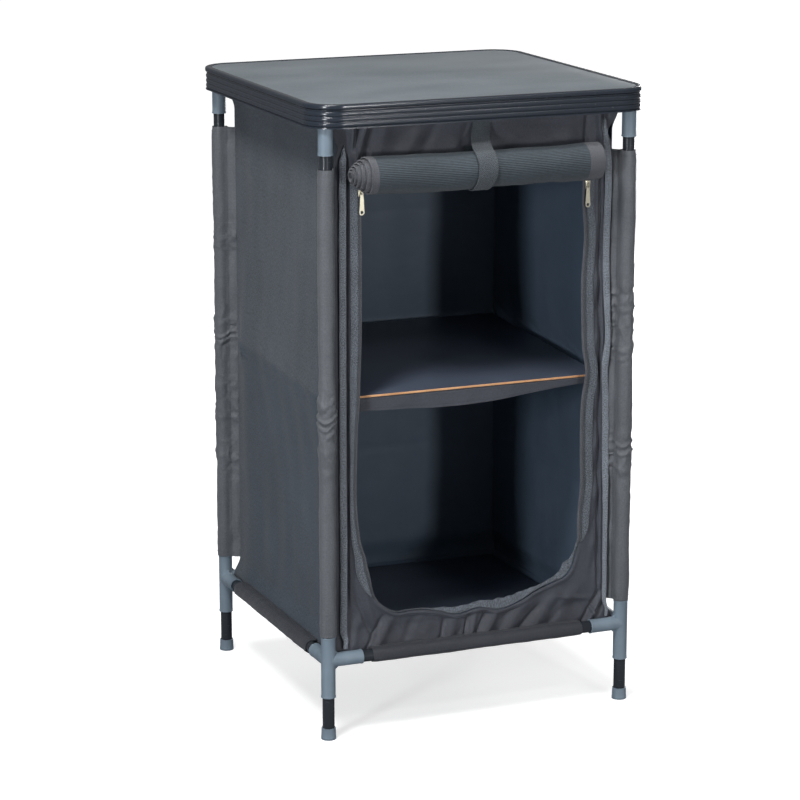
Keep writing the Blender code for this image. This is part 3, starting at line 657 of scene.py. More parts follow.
print(f"branches reach {BRANCH_REACH * 1000:.0f} mm")


# %% Model one upper and one lower corner, and copy them round
def corner_moulding(name, node, open_both, axis_z):
    low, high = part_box(node)
    bottom, top, hub = (Vector((LEG["fl"].x, LEG["fl"].y, z)) for z in (low.z, high.z, axis_z))
    if open_both:
        body = barrel(name, bottom, top, BARREL_R, open_base=True)
    else:
        body = barrel(name, top, bottom, BARREL_R)
    others = []
    for along in (Vector((1, 0, 0)), Vector((0, 1, 0))):
        others.append(barrel("branch", hub, hub + along * BRANCH_REACH, BRANCH_R))
        run_up = min(WEB_RUN, high.z - axis_z - 0.001)
        others.append(web(hub, along, run_up, WEB_RUN))
    join_solids(body, others)
    soften(body, 0.0006, 2, 30)
    return body


def turned_copies(first, stem, node_stem):
    """Copies a front left piece to the four corners, a quarter turn at a time."""
    for step, corner in enumerate(CORNERS):
        obj = first if corner == "fl" else first.copy()
        if corner != "fl":
            obj.data = first.data.copy()
            bpy.context.scene.collection.objects.link(obj)
        obj.name = f"{stem}_{corner}"
        home = Matrix.Translation((-LEG["fl"].x, -LEG["fl"].y, 0))
        turn = Matrix.Rotation(step * math.pi / 2, 4, "Z")
        away = Matrix.Translation((LEG[corner].x, LEG[corner].y, 0))
        obj.data.transform(away @ turn @ home)
        if corner == "fl":
            obj.data.materials.append(MOULDING)
        dress(obj, BODY, "moulding_grey", node=f"{node_stem}_{corner}")


for level, name, axis_z in (("lower", "low_corner", LOW_RAIL_Z), ("upper", "top_corner", TOP_RAIL_Z)):
    moulding = corner_moulding(f"{name}_fl", f"{level}_connector_fl", level == "lower", axis_z)
    turned_copies(moulding, name, f"{level}_connector")
    print(f"{level} corner moulding: {len(moulding.data.polygons)} faces")

# %% [markdown]
# The feet are turned caps, a little wider at the ground, with a soft edge all round
# and a fine line where the mould closes.


# %% Foot caps
FOOT_DISC = 0.0042
FOOT_STEPS = ((0.0005, 0.975), (0.0128, 0.968), (0.0010, 1.0))
FOOT_HOLLOW = 0.010


def foot_cap():
    """A disc with a shoulder, a tapered wall and a hollow for the leg."""
    low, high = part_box("foot_cap_fl")
    wide = (high.x - low.x) / 2
    obj = start("cylinder", "foot_fl", vertices=64, radius=wide, depth=FOOT_DISC,
                location=(LEG["fl"].x, LEG["fl"].y, FOOT_DISC / 2))
    edit(obj)
    top = Vector((LEG["fl"].x, LEG["fl"].y, FOOT_DISC))
    pick_end(obj, Vector((0, 0, 1)))
    for rise, size in FOOT_STEPS:
        extrude((0, 0, rise))
        top.z += rise
        bpy.ops.transform.resize(value=(size, size, 1.0), center_override=top)
    bpy.ops.mesh.inset(thickness=wide * 0.944 - TUBE_R - 0.0002)
    extrude((0, 0, -FOOT_HOLLOW))
    leave()
    soften(obj, 0.0005, 3, 25)
    return obj


turned_copies(foot_cap(), "foot", "foot_cap")
print("4 feet")

# %% [markdown]
# ## Tabletop
#
# The edge is one drawn profile bent round the board: an overhanging lip, a small
# bead, three round ribs and a thin ledge at the bottom. A profile curve is swept
# along a rounded rectangle, which keeps its section true in the corners, and the
# result is turned into a mesh.


# %% Edge profile and its path
TOP_LOW, TOP_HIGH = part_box("tabletop_rim")
TOP_X = TOP_HIGH.x
TOP_Y = TOP_HIGH.y - MIDDLE_Y
TOP_CORNER_R = 0.052
LIP_IN = 0.0105
BOARD_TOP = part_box("tabletop_board")[1].z


def arc_points(centre, radius, first, last, steps):
    points = []
    for i in range(steps + 1):
        angle = math.radians(first + (last - first) * i / steps)
        points.append((centre[0] + radius[0] * math.cos(angle),
                       centre[1] + radius[1] * math.sin(angle)))
    return points


def curve_from(name, lines, cyclic=True, dimensions="2D", **settings):
    """A curve that runs in straight steps through each of its lines of points."""
    data = bpy.data.curves.new(name, "CURVE")
    data.dimensions = dimensions
    for key, value in settings.items():
        setattr(data, key, value)
    for points in lines:
        spline = data.splines.new("POLY")
        spline.points.add(len(points) - 1)
        for spot, at in zip(spline.points, points):
            spot.co = (*Vector(at).to_3d(), 1.0)
        spline.use_cyclic_u = cyclic
    return add_object(name, data)


def to_mesh(obj):
    """Turns a curve into a mesh at the origin."""
    activate(obj)
    bpy.ops.object.convert(target="MESH")
    bpy.ops.object.transform_apply(location=True, rotation=True, scale=True)
    return bpy.context.object


def rim_section():
    """Distance out from the lip's face (x, negative is inwards) and height."""
    top, bottom = TOP_HIGH.z, TOP_LOW.z
    wall = -0.0030
    rib = 0.0078
    points = [(-LIP_IN, BOARD_TOP + 0.0001), (-LIP_IN + 0.0012, top - 0.0002)]
    points += arc_points((-0.0028, top - 0.0028), (0.0028, 0.0028), 90, 0, 6)
    points += arc_points((-0.0020, top - 0.0058), (0.0020, 0.0016), 0, -80, 4)
    points += arc_points((wall - 0.0002, top - 0.0092), (0.0011, 0.0012), 80, -80, 5)
    first = top - 0.0108 - rib / 2
    for i in range(3):
        points += arc_points((wall, first - i * rib), (0.0018, rib / 2 * 0.94), 84, -84, 8)
    points += [(wall, bottom + 0.0022), (-0.0008, bottom + 0.0018), (-0.0006, bottom + 0.0002)]
    points += [(wall - 0.0016, bottom), (wall - 0.0018, BOARD_TOP - 0.0062)]
    points += [(-LIP_IN - 0.006, BOARD_TOP - 0.0064), (-LIP_IN - 0.006, BOARD_TOP - 0.0056)]
    points += [(-LIP_IN + 0.0002, BOARD_TOP - 0.0054)]
    return points


def rounded_loop(half_x, half_y, radius, steps):
    points = []
    for index, (sx, sy) in enumerate(((1, 1), (-1, 1), (-1, -1), (1, -1))):
        centre = (sx * (half_x - radius), sy * (half_y - radius))
        points += arc_points(centre, (radius, radius), index * 90, index * 90 + 90, steps)
    return points


section = curve_from("rim_section", [[(-x, z) for x, z in rim_section()]])
path = curve_from("rim_path", [rounded_loop(TOP_X, TOP_Y, TOP_CORNER_R, 20)],
                  bevel_mode="OBJECT", bevel_object=section)
path.location.y = MIDDLE_Y
print(f"rim section of {len(section.data.splines[0].points)} points")

# %% Turn the sweep into the tabletop's edge
table_edge = to_mesh(path)
table_edge.name = "table_edge"
bpy.data.objects.remove(section)
turn_faces_out(table_edge, merge=0.00002)
dress(table_edge, "tabletop", "rim_satin", RIM_SATIN, node="tabletop_rim", smooth=30)
edge_low = min(v.co.z for v in table_edge.data.vertices)
edge_wide = max(v.co.x for v in table_edge.data.vertices)
print(f"edge bottom {edge_low:.4f} m, half width {edge_wide:.4f} m")


# %% [markdown]
# The tabletop's board and the two inner boards are plates with rounded corners.
# Bevelling the four upright edges of a thin cube gives their outline. The inner ones
# have black foil on their faces and bare sawn sides, and the shelf's board slopes.


# %% Boards
def plate(name, node, radius, segments, edge, thick=None):
    """A plate in the box of a node, with rounded corners and soft edges."""
    low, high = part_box(node)
    thick = thick or high.z - low.z
    obj = start("cube", name, size=1.0, location=(low + high) / 2,
                scale=(high.x - low.x, high.y - low.y, thick))
    edit(obj)
    pick(obj, "EDGE", lambda side: abs(side.verts[0].co.z - side.verts[1].co.z) > thick * 0.9)
    bpy.ops.mesh.bevel(offset=radius, segments=segments, affect="EDGES")
    leave()
    soften(obj, edge, 2, 60)
    return obj


board = plate("table_board", "tabletop_board", TOP_CORNER_R - LIP_IN, 12, 0.0005)
dress(board, "tabletop", "table_laminate", LAMINATE, node="tabletop_board")
SHELF_THICK = 0.0035
shelf_low, shelf_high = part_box("shelf_board")
SHELF_SLOPE = (shelf_high.z - shelf_low.z - SHELF_THICK) / (shelf_high.y - shelf_low.y)
for name, node, thick, slope in (("shelf_plate", "shelf_board", SHELF_THICK, SHELF_SLOPE),
                                 ("base_plate", "base_board", None, 0.0)):
    board = plate(name, node, 0.004, 5, 0.0003, thick)
    for material in (FOIL, SAWN_EDGE):
        board.data.materials.append(material)
    for face in board.data.polygons:
        face.material_index = int(abs(face.normal.z) < 0.5)
    for vert in board.data.vertices:
        vert.co.z += (vert.co.y - middle(node).y) * slope
    dress(board, node, "board_black", node=node)
print(f"3 boards, the shelf slopes {math.degrees(math.atan(SHELF_SLOPE)):.1f} degrees")

# %% [markdown]
# ## Sheets of cloth
#
# Each sheet starts as a flat grid. Its UV map is stretched to the size that the
# cloth was cut to, in metres, so the weave has one scale everywhere. Then each point
# is put where the cloth hangs, by a function of how far it is across and up, and
# Solidify gives the cloth its thickness. The sheet's back takes the next material,
# which is the coating.


# %% Make a sheet
SHEETS = {}


def sheet(name, node, grid, size, place, materials, held, rests_on, thick=0.0010,
          slot="cloth_wall", offset=-1.0, **cut):
    """A cloth of a size, put in place by a function. cut holds what its pattern is
    when that isn't a rectangle of the size; it is not used."""
    obj = start("grid", name, x_subdivisions=grid[0], y_subdivisions=grid[1], size=1.0)
    for loop in obj.data.uv_layers.active.data:
        loop.uv = (loop.uv[0] * size[0], loop.uv[1] * size[1])
    for vert in obj.data.vertices:
        vert.co = place(vert.co.x + 0.5, vert.co.y + 0.5)
    for material in materials:
        obj.data.materials.append(material)
    modifier(obj, "SOLIDIFY", thickness=thick, offset=offset,
             material_offset=len(materials) - 1, material_offset_rim=0)
    dress(obj, BODY, slot, node=node, smooth=60)
    SHEETS[name] = place
    return obj


def ease(value, low, high):
    """0 below low, 1 above high, with a smooth step between."""
    share = min(max((value - low) / (high - low), 0.0), 1.0)
    return share * share * (3 - 2 * share)


def hump(value, centre, width):
    return math.exp(-((value - centre) / width) ** 2)


def mix(first, second, share):
    return first + (second - first) * share


def track(table, at):
    """A smooth curve through a table of places and values."""
    if at <= table[0][0]:
        return table[0][1]
    if at >= table[-1][0]:
        return table[-1][1]
    i = next(i for i, entry in enumerate(table) if entry[0] > at) - 1
    (x1, y1), (x2, y2) = table[i], table[i + 1]
    x0, y0 = table[max(i - 1, 0)]
    x3, y3 = table[min(i + 2, len(table) - 1)]
    rise1, rise2 = (y2 - y0) / (x2 - x0), (y3 - y1) / (x3 - x1)
    t = (at - x1) / (x2 - x1)
    step = t * t * (3 - 2 * t)
    swing = (t ** 3 - 2 * t ** 2 + t) * rise1 + (t ** 3 - t ** 2) * rise2
    return y1 + (y2 - y1) * step + swing * (x2 - x1)


def crumple(x, y, seed):
    """0 to 1: thin creases that cross each other, as in cloth that was folded."""
    near = abs(noise.noise(Vector((x, y, seed))))
    return max(1 - 3.0 * near, 0.0) ** 2


def flutter(x, y, seed=0.0):
    """Smooth noise, about -1 to 1, that gives cloth its small unevenness."""
    return noise.noise(Vector((x, y, seed)))


def ridge(x, z, fold):
    """Height of one fold at a point: a fold runs from one end to the other, and
    has a height, negative for a valley, and a width."""
    x1, z1, x2, z2, height, width = fold
    run_x, run_z = x2 - x1, z2 - z1
    length = math.hypot(run_x, run_z)
    share = ((x - x1) * run_x + (z - z1) * run_z) / length ** 2
    across = ((x - x1) * run_z - (z - z1) * run_x) / length
    fade = ease(share, -0.35, 0.25) * ease(1 - share, -0.35, 0.25)
    return height * fade * hump(across, 0.0, width)


print("sheet tools ready")

# %% [markdown]
# ### Side and back walls
#
# A side wall hangs between two legs, held by its sleeves. It is drawn in a little
# halfway up, and the edge of the shelf inside pushes it out along one line. Above
# that line it leans back and catches the light. Below it the cloth hangs slack and
# turns from the light, and its material paints it darker there as painted shade. At
# the top and at the bottom it leans out to reach the sleeves round the rails.

# %% Shape of a wall
SHELF_BACK_Z = shelf_high.z
SHELF_FRONT_Z = shelf_low.z + SHELF_THICK
HEM_LEAN = 0.0085
TOP_LEAN = 0.0070


def rail_lean(z):
    """How far a wall stands out towards the rails near its foot and its top."""
    foot = ease(WALL_BOTTOM + 0.050 - z, 0.0, 0.034)
    top = ease(z, WALL_TOP - 0.052, WALL_TOP - 0.018)
    return HEM_LEAN * foot + TOP_LEAN * top


def crease(distance, reach):
    """1 on a line and falling away from it, with a narrow round at the line."""
    return math.exp(-(math.hypot(distance, 0.004) - 0.004) / reach)


def wall_relief(u, v, z, shelf_z, seed):
    """How far the cloth stands out from the flat wall, in metres."""
    held = ease(u, 0.0, 0.10) * ease(1 - u, 0.0, 0.10) * ease(v, 0.0, 0.05) * ease(1 - v, 0.0, 0.05)
    drawn_in = -0.0035 * math.sin(math.pi * u) * math.sin(math.pi * v)
    bulge = 0.0150 * crease(z - shelf_z, 0.075 if z > shelf_z else 0.12)
    bulge *= ease(u, 0.0, 0.14) * ease(1 - u, 0.0, 0.14)
    waver = 0.0020 * flutter(u * 5.0, v * 1.2, seed)
    small = 0.0010 * flutter(u * 13.0, v * 8.0, seed + 5)
    packing = 0.0008 * hump(z, 0.745, 0.006) + 0.0008 * hump(z, 0.335, 0.006)
    pull = 0.0022 * hump(z, 0.905 - 0.30 * u, 0.03) * hump(u, 0.15, 0.2)
    return drawn_in + bulge + (waver + small + packing + pull) * held


# Folds of a side wall at the shelf, as in FOLDS below, but from the wall's back edge
# and from the shelf's height.
WALL_FOLDS = [
    (0.008, 0.018, 0.062, -0.018, 0.0052, 0.0036),
    (0.008, 0.004, 0.054, -0.026, -0.0046, 0.0030),
    (0.010, -0.010, 0.046, -0.036, 0.0040, 0.0032),
    (0.130, 0.010, 0.200, -0.004, 0.0018, 0.0050),
    (0.270, 0.012, 0.350, -0.010, -0.0018, 0.0050),
]
WALL_CUT = (2 * WALL_Y, WALL_TOP - WALL_BOTTOM)
FOOT = WALL_BOTTOM + 0.006


def side_wall(sign):
    def place(u, v):
        z = mix(FOOT, WALL_TOP, v)
        front_to_back = u if sign > 0 else 1 - u
        shelf_z = mix(SHELF_FRONT_Z, SHELF_BACK_Z, front_to_back)
        reach = WALL_Y + rail_lean(z)
        y = MIDDLE_Y + mix(-reach, reach, front_to_back)
        out = wall_relief(u, v, z, shelf_z, 3.0 * sign) + rail_lean(z)
        from_back = (1 - front_to_back) * WALL_CUT[0]
        out += sum(ridge(from_back, z - shelf_z, fold) for fold in WALL_FOLDS)
        ripple = 0.0030 * hump(z, WALL_BOTTOM, 0.02) * flutter(front_to_back * 9.0, 0, 2.0)
        return (sign * (WALL_X + out), y, z + ripple)

    side = "right" if sign > 0 else "left"
    # Painted shade: the wall's colour is darkened below the shelf's sloping line.
    line = [(z - FOOT) / (WALL_TOP - FOOT) * WALL_CUT[1] for z in (SHELF_BACK_Z, SHELF_FRONT_Z)]
    left_z, right_z = line if sign < 0 else line[::-1]
    sag_and_painted_shade = (left_z, (right_z - left_z) / WALL_CUT[0], PAINTED_SHADE_TONE, 0.008, WALL_CUT[0])
    cloth = woven(f"{side}_wall_cloth", *WALL_TONES, sag_and_painted_shade=sag_and_painted_shade)
    sheet(f"{side}_wall", f"{side}_panel", (96, 200), WALL_CUT, place, (cloth, COATING), "stretched",
          [f"upper_rail_{side}", f"lower_rail_{side}"])


side_wall(-1)
side_wall(1)
print("side walls")


# %% Back wall
def place_back(u, v):
    z = mix(FOOT, WALL_TOP, v)
    out = wall_relief(u, v, z, SHELF_BACK_Z, 11.0) * 0.6 + rail_lean(z)
    reach = WALL_X + rail_lean(z)
    return (mix(reach, -reach, u), MIDDLE_Y + WALL_Y + out, z)


BACK_CUT = (2 * WALL_X, WALL_TOP - WALL_BOTTOM)
sheet("back_wall", "back_panel", (80, 150), BACK_CUT, place_back, (CLOTH, COATING), "stretched",
      ["upper_rail_back", "lower_rail_back"])
print("back wall")

# %% [markdown]
# ### Front: a surround with a U-shaped opening, and a header
#
# The front is cut out in a U for the door. Its edge carries the zip, and below the
# opening the cloth is slack: it hangs in folds that fan out from the middle and the
# corners. A plain grid can't follow a U, so the surround's grid runs round the
# opening: its columns follow the edge, and its rows go from the edge outwards.

# %% The opening's edge
OPENING_HALF = 0.1915
OPENING_R = 0.1000
OPENING_BOTTOM = 0.1780
OPENING_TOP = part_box("zip_tape")[1].z
STRAIGHT = OPENING_TOP - OPENING_BOTTOM - OPENING_R
BEND = math.pi / 2 * OPENING_R
LEVEL = 2 * (OPENING_HALF - OPENING_R)
EDGE_LENGTH = 2 * STRAIGHT + 2 * BEND + LEVEL
FRONT_Y = MIDDLE_Y - WALL_Y


def edge_at(s):
    """Point of the opening's edge and its outward direction, s metres from the
    top right, down, round the bottom and up the left. Both in X and Z."""
    half_level = LEVEL / 2
    bend_z = OPENING_BOTTOM + OPENING_R
    if s > EDGE_LENGTH / 2:
        point, outward = edge_at(EDGE_LENGTH - s)
        return Vector((-point.x, point.y)), Vector((-outward.x, outward.y))
    if s <= STRAIGHT:
        return Vector((OPENING_HALF, OPENING_TOP - s)), Vector((1.0, 0.0))
    if s <= STRAIGHT + BEND:
        angle = (s - STRAIGHT) / OPENING_R
        outward = Vector((math.cos(angle), -math.sin(angle)))
        return Vector((half_level, bend_z)) + outward * OPENING_R, outward
    along = s - STRAIGHT - BEND
    return Vector((half_level - along, OPENING_BOTTOM)), Vector((0.0, -1.0))


MIDDLE_S = EDGE_LENGTH / 2
# Metres along the edge from the middle of the foot, positive to the right, and metres
# that the slack edge has moved inwards there.
SLACK = [
    (-0.790, -0.0020), (-0.620, -0.0018), (-0.545, -0.0040), (-0.497, -0.0060), (-0.460, -0.0090),
    (-0.395, -0.0105), (-0.350, -0.0110), (-0.308, -0.0085), (-0.276, -0.0040), (-0.249, 0.0045),
    (-0.217, 0.0070), (-0.181, 0.0005), (-0.132, 0.0000), (-0.110, 0.0070), (-0.086, 0.0078),
    (-0.058, 0.0018), (-0.027, -0.0070), (0.005, -0.0018), (0.014, -0.0008), (0.043, -0.0074),
    (0.064, -0.0050), (0.085, 0.0025), (0.108, 0.0118), (0.130, 0.0138), (0.153, 0.0100),
    (0.172, 0.0028), (0.190, 0.0018), (0.219, 0.0050), (0.245, 0.0030), (0.284, 0.0029),
    (0.333, -0.0015), (0.381, -0.0002), (0.442, 0.0002), (0.475, -0.0014), (0.519, -0.0076),
    (0.558, -0.0015), (0.604, 0.0006), (0.671, 0.0017), (0.738, -0.0018), (0.788, 0.0018),
]


def edge_slack(s):
    straight = 0.0005 * flutter(s * 11.0, 0.0, 8.0)
    return track(SLACK, MIDDLE_S - s) + straight


def front_edge(s):
    point, outward = edge_at(s)
    return point - outward * edge_slack(s), outward


def foot_share(s):
    """1 where the zip's tape has turned up behind the cloth's edge, along the foot."""
    from_middle = MIDDLE_S - s
    return ease(from_middle, -0.192, -0.160) * ease(0.245 - from_middle, 0.0, 0.022)


print(f"opening edge {EDGE_LENGTH:.3f} m long")

# %% Folds of the slack front
# Each fold is given by its two ends, x and z, its height and its width. A negative
# height is a valley. FOLD_DEPTH makes all of them lower.
FOLD_DEPTH = 0.74
FOLDS = [
    (-0.158, 0.176, -0.188, 0.128, -0.0058, 0.0034),
    (-0.143, 0.174, -0.174, 0.130, 0.0080, 0.0090),
    (-0.104, 0.172, -0.120, 0.140, -0.0030, 0.0060),
    (-0.078, 0.166, -0.086, 0.148, 0.0030, 0.0120),
    (-0.120, 0.146, -0.078, 0.140, 0.0016, 0.0060),
    (-0.090, 0.132, -0.062, 0.144, 0.0022, 0.0060),
    (-0.050, 0.164, -0.062, 0.130, -0.0044, 0.0032),
    (-0.030, 0.166, -0.046, 0.134, 0.0040, 0.0080),
    (-0.020, 0.150, -0.040, 0.130, -0.0018, 0.0040),
    (-0.006, 0.170, -0.020, 0.128, -0.0056, 0.0028),
    (0.006, 0.168, -0.008, 0.130, 0.0044, 0.0044),
    (0.026, 0.170, -0.002, 0.128, -0.0056, 0.0034),
    (0.046, 0.172, 0.014, 0.130, 0.0085, 0.0080),
    (0.072, 0.172, 0.036, 0.130, -0.0030, 0.0060),
    (0.098, 0.180, 0.050, 0.130, 0.0062, 0.0110),
    (0.112, 0.164, 0.066, 0.126, -0.0060, 0.0044),
    (0.142, 0.178, 0.098, 0.134, 0.0068, 0.0100),
    (0.160, 0.164, 0.122, 0.132, -0.0036, 0.0060),
    (0.176, 0.186, 0.146, 0.150, 0.0050, 0.0090),
    (0.150, 0.180, 0.205, 0.171, 0.0030, 0.0040),
    (0.186, 0.132, 0.221, 0.176, -0.0075, 0.0034),
    (0.194, 0.130, 0.226, 0.170, 0.0080, 0.0034),
    (0.205, 0.130, 0.229, 0.158, -0.0060, 0.0026),
    (0.214, 0.136, 0.206, 0.160, 0.0050, 0.0024),
    (-0.204, 0.300, -0.196, 0.200, -0.0030, 0.0050),
    (-0.188, 0.235, -0.165, 0.160, 0.0040, 0.0050),
    (-0.196, 0.215, -0.176, 0.160, -0.0046, 0.0030),
    (-0.196, 0.180, -0.208, 0.140, 0.0045, 0.0080),
]
# The strip between the zip and the right corner is too long: it is gathered in puffs,
# each given by its z, how far it stands out, and its x.
PUFFS = [
    (0.790, 0.0022, 0.2105), (0.735, -0.0016, 0.2120), (0.690, 0.0024, 0.2120),
    (0.655, -0.0030, 0.2135), (0.600, 0.0030, 0.2130), (0.560, -0.0040, 0.2150),
    (0.520, 0.0034, 0.2140), (0.472, -0.0026, 0.2140), (0.430, 0.0032, 0.2140),
    (0.388, -0.0030, 0.2150), (0.345, 0.0030, 0.2140), (0.300, -0.0024, 0.2140),
    (0.262, 0.0022, 0.2120), (0.225, -0.0020, 0.2120),
]


def front_reach(z):
    """Half width of the front: its upper corners are cut in, in a curve."""
    return WALL_X + rail_lean(z) - 0.0075 * hump(z, 0.930, 0.013)


def side_strip_out(x, z):
    """Relief of the two strips between the zip and the corners."""
    upright = ease(z, OPENING_BOTTOM, OPENING_BOTTOM + 0.07)
    if x < 0.0:
        return -0.0050 * hump(x, -0.2118, 0.0026) * upright
    valley = track([(0.16, 0.2215), (0.40, 0.2200), (0.60, 0.2190), (0.68, 0.2165), (0.84, 0.2165)], z)
    deep = 0.0056 + 0.0022 * flutter(z * 26.0, 0.0, 27.0)
    out = -deep * hump(x, valley, 0.0030) * ease(z, OPENING_BOTTOM - 0.02, OPENING_BOTTOM + 0.04)
    for at, height, across in PUFFS:
        out += height * hump(z - 0.9 * (x - across), at, 0.013) * hump(x, across, 0.0060)
    return out


def front_out(x, z, from_edge):
    """How far the front stands out towards the viewer at a point."""
    held = ease(from_edge, -0.004, 0.014) * ease(front_reach(z) - abs(x), 0.0, 0.010)
    held *= ease(z, FOOT - 0.004, FOOT + 0.012)
    folds = FOLD_DEPTH * sum(ridge(x, z, fold) for fold in FOLDS if abs(z - fold[1]) < 0.14)
    low_part = ease(OPENING_BOTTOM + 0.09 - z, 0.0, 0.05)
    broad = 0.0030 * flutter(x * 7.0, z * 9.0, 21.0) * low_part
    fine = 0.0010 * flutter(x * 38.0, z * 38.0, 23.0)
    creases = 0.0012 * crumple(x * 16.0 + z * 6.0, z * 11.0 - x * 5.0, 24.0) * low_part
    rolled = 0.0022 * hump(from_edge, 0.0035, 0.0035) * low_part
    return (folds + broad + fine + creases + side_strip_out(x, z)) * held + rolled + rail_lean(z)


print(f"{len(FOLDS)} folds and {len(PUFFS)} puffs of the front")


# %% Surround of the opening
def outer_point(s):
    """Where a row of the surround ends, on the front's outer edge, in X and Z."""
    if s > EDGE_LENGTH / 2:
        point = outer_point(EDGE_LENGTH - s)
        return Vector((-point.x, point.y))
    corner_z = OPENING_BOTTOM + OPENING_R
    if s <= STRAIGHT:
        z = mix(OPENING_TOP, corner_z, s / STRAIGHT)
        return Vector((front_reach(z), z))
    corner_x = front_reach(FOOT)
    down, level = corner_z - FOOT, corner_x - LEVEL / 2
    if s <= STRAIGHT + BEND:
        run = (s - STRAIGHT) / BEND * (down + level)
        if run <= down:
            return Vector((front_reach(corner_z - run), corner_z - run))
        return Vector((corner_x - (run - down), FOOT))
    return Vector((LEVEL / 2 - (s - STRAIGHT - BEND), FOOT))


def along_edge(u):
    """Spends more of the grid's columns on the curved foot than on the straight sides."""
    foot, side = LEVEL + 2 * BEND, STRAIGHT
    if u > 0.5:
        return EDGE_LENGTH - along_edge(1 - u)
    if u < 0.22:
        return side * u / 0.22
    return side + foot / 2 * (u - 0.22) / 0.28


def place_surround(u, v):
    s = along_edge(u)
    inner = front_edge(s)[0]
    point = inner.lerp(outer_point(s), v)
    from_edge = (point - inner).length
    return (point.x, FRONT_Y - front_out(point.x, point.y, from_edge), point.y)


FRONT_WIDE, FRONT_TALL = 2 * WALL_X, OPENING_TOP - FOOT
# The least share of the front's rectangle that the surround's given area is raised to.
# The least share of its rectangle that a cut cloth may be said to fill.
LEAST_SHARE = 0.301
HOLE = 2 * OPENING_HALF * (OPENING_TOP - OPENING_BOTTOM) - (2 - math.pi / 2) * OPENING_R ** 2
SURROUND_AREA = FRONT_WIDE * FRONT_TALL - HOLE
# Painted shade: the front's colour is darkened towards its foot, below the opening, where less light falls.
surround_painted_shade = (OPENING_BOTTOM + 0.03 - FOOT, 0.0, tone(190, 193, 198), 0.09, FRONT_WIDE)
surround_cloth = woven("surround_cloth", *FRONT_TONES, slub=0.35, rough=0.46, sag_and_painted_shade=surround_painted_shade)
surround = sheet("front_surround", "front_panel", (680, 52), (EDGE_LENGTH, 0.052), place_surround,
                 (surround_cloth, COATING), "hung", ["lower_rail_front"], flat=(FRONT_WIDE, FRONT_TALL),
                 area=max(SURROUND_AREA, LEAST_SHARE * FRONT_WIDE * FRONT_TALL))
print(f"surround of {SURROUND_AREA:.4f} square metres")

# %% Lay the surround's weave level
for loop in surround.data.loops:
    at = surround.data.vertices[loop.vertex_index].co
    surround.data.uv_layers.active.data[loop.index].uv = (at.x + WALL_X, at.z - FOOT)
print("weave laid level")

# %% [markdown]
# The header is the strip above the door. It hangs from the upper rail, a little
# slack, so it drapes in shallow swags behind the roll, and it is bunched up at both
# ends where it meets the corner pieces.


# %% Header
HEADER_FOLDS = [
    (-0.208, 0.976, -0.202, 0.905, 0.0110, 0.0060),
    (-0.197, 0.972, -0.204, 0.920, -0.0050, 0.0035),
    (-0.183, 0.972, -0.198, 0.908, 0.0090, 0.0065),
    (-0.172, 0.965, -0.180, 0.915, -0.0030, 0.0050),
    (-0.150, 0.972, -0.158, 0.920, 0.0035, 0.0120),
    (-0.092, 0.950, -0.122, 0.912, 0.0050, 0.0130),
    (-0.064, 0.965, -0.086, 0.920, -0.0025, 0.0090),
    (-0.014, 0.958, -0.022, 0.925, -0.0030, 0.0070),
    (0.030, 0.965, 0.070, 0.920, 0.0040, 0.0140),
    (0.100, 0.970, 0.140, 0.920, -0.0025, 0.0120),
    (0.150, 0.970, 0.165, 0.920, 0.0030, 0.0120),
    (0.190, 0.972, 0.189, 0.915, -0.0055, 0.0045),
    (0.203, 0.976, 0.214, 0.915, 0.0100, 0.0055),
    (0.222, 0.968, 0.218, 0.925, -0.0040, 0.0040),
]


def header_out(x, z):
    share = (z - OPENING_TOP) / (WALL_TOP - OPENING_TOP)
    folds = sum(ridge(x, z, fold) for fold in HEADER_FOLDS)
    soft = 0.0016 * flutter(x * 16.0, z * 24.0, 31.0)
    held = ease(share, 0.02, 0.25) * ease(front_reach(z) - abs(x), 0.0, 0.008)
    return (folds + soft) * held + rail_lean(z) * 0.8


def place_header(u, v):
    z = mix(OPENING_TOP - 0.001, WALL_TOP, v)
    reach = front_reach(z)
    x = mix(-reach, reach, u)
    return (x, FRONT_Y - 0.0006 - header_out(x, z), z)


HEADER_CUT = (2 * WALL_X, WALL_TOP - OPENING_TOP)
sheet("front_header", "front_panel", (260, 60), HEADER_CUT, place_header, (FRONT_CLOTH, COATING), "hung",
      ["upper_rail_front"])
print("header")

# %% [markdown]
# ### Sleeves
#
# Each leg runs in a sleeve: the cloth goes round the pole and comes back to itself in
# a flat tail, which is sewn into the corner of two walls. Its section is a drop
# shape. Where the sleeve is longer than it needs to be, it ruckles, and at the ends
# it is turned in and stitched.

# %% Section of a sleeve
SLEEVE_R = TUBE_R + 0.0026


def smooth_line(points, steps):
    """A smooth curve through points, which are Vectors."""
    ends = [points[0] * 2 - points[1], *points, points[-1] * 2 - points[-2]]
    line = []
    for p0, p1, p2, p3 in zip(ends, ends[1:], ends[2:], ends[3:]):
        for i in range(steps):
            t = i / steps
            bend = (p2 - p0) * t + (p0 * 2 - p1 * 5 + p2 * 4 - p3) * t ** 2
            line.append((p1 * 2 + bend + (p1 * 3 - p0 - p2 * 3 + p3) * t ** 3) / 2)
    return [*line, points[-1]]


def lengths_of(line):
    return [(b - a).length for a, b in zip(line, line[1:])]


def evenly(line, count):
    """The same line in equal steps."""
    lengths = lengths_of(line)
    step = sum(lengths) / count
    made, index, run = [line[0]], 0, 0.0
    for i in range(1, count):
        while run + lengths[index] < i * step:
            run += lengths[index]
            index += 1
        made.append(line[index].lerp(line[index + 1], (i * step - run) / lengths[index]))
    return [*made, line[-1]]


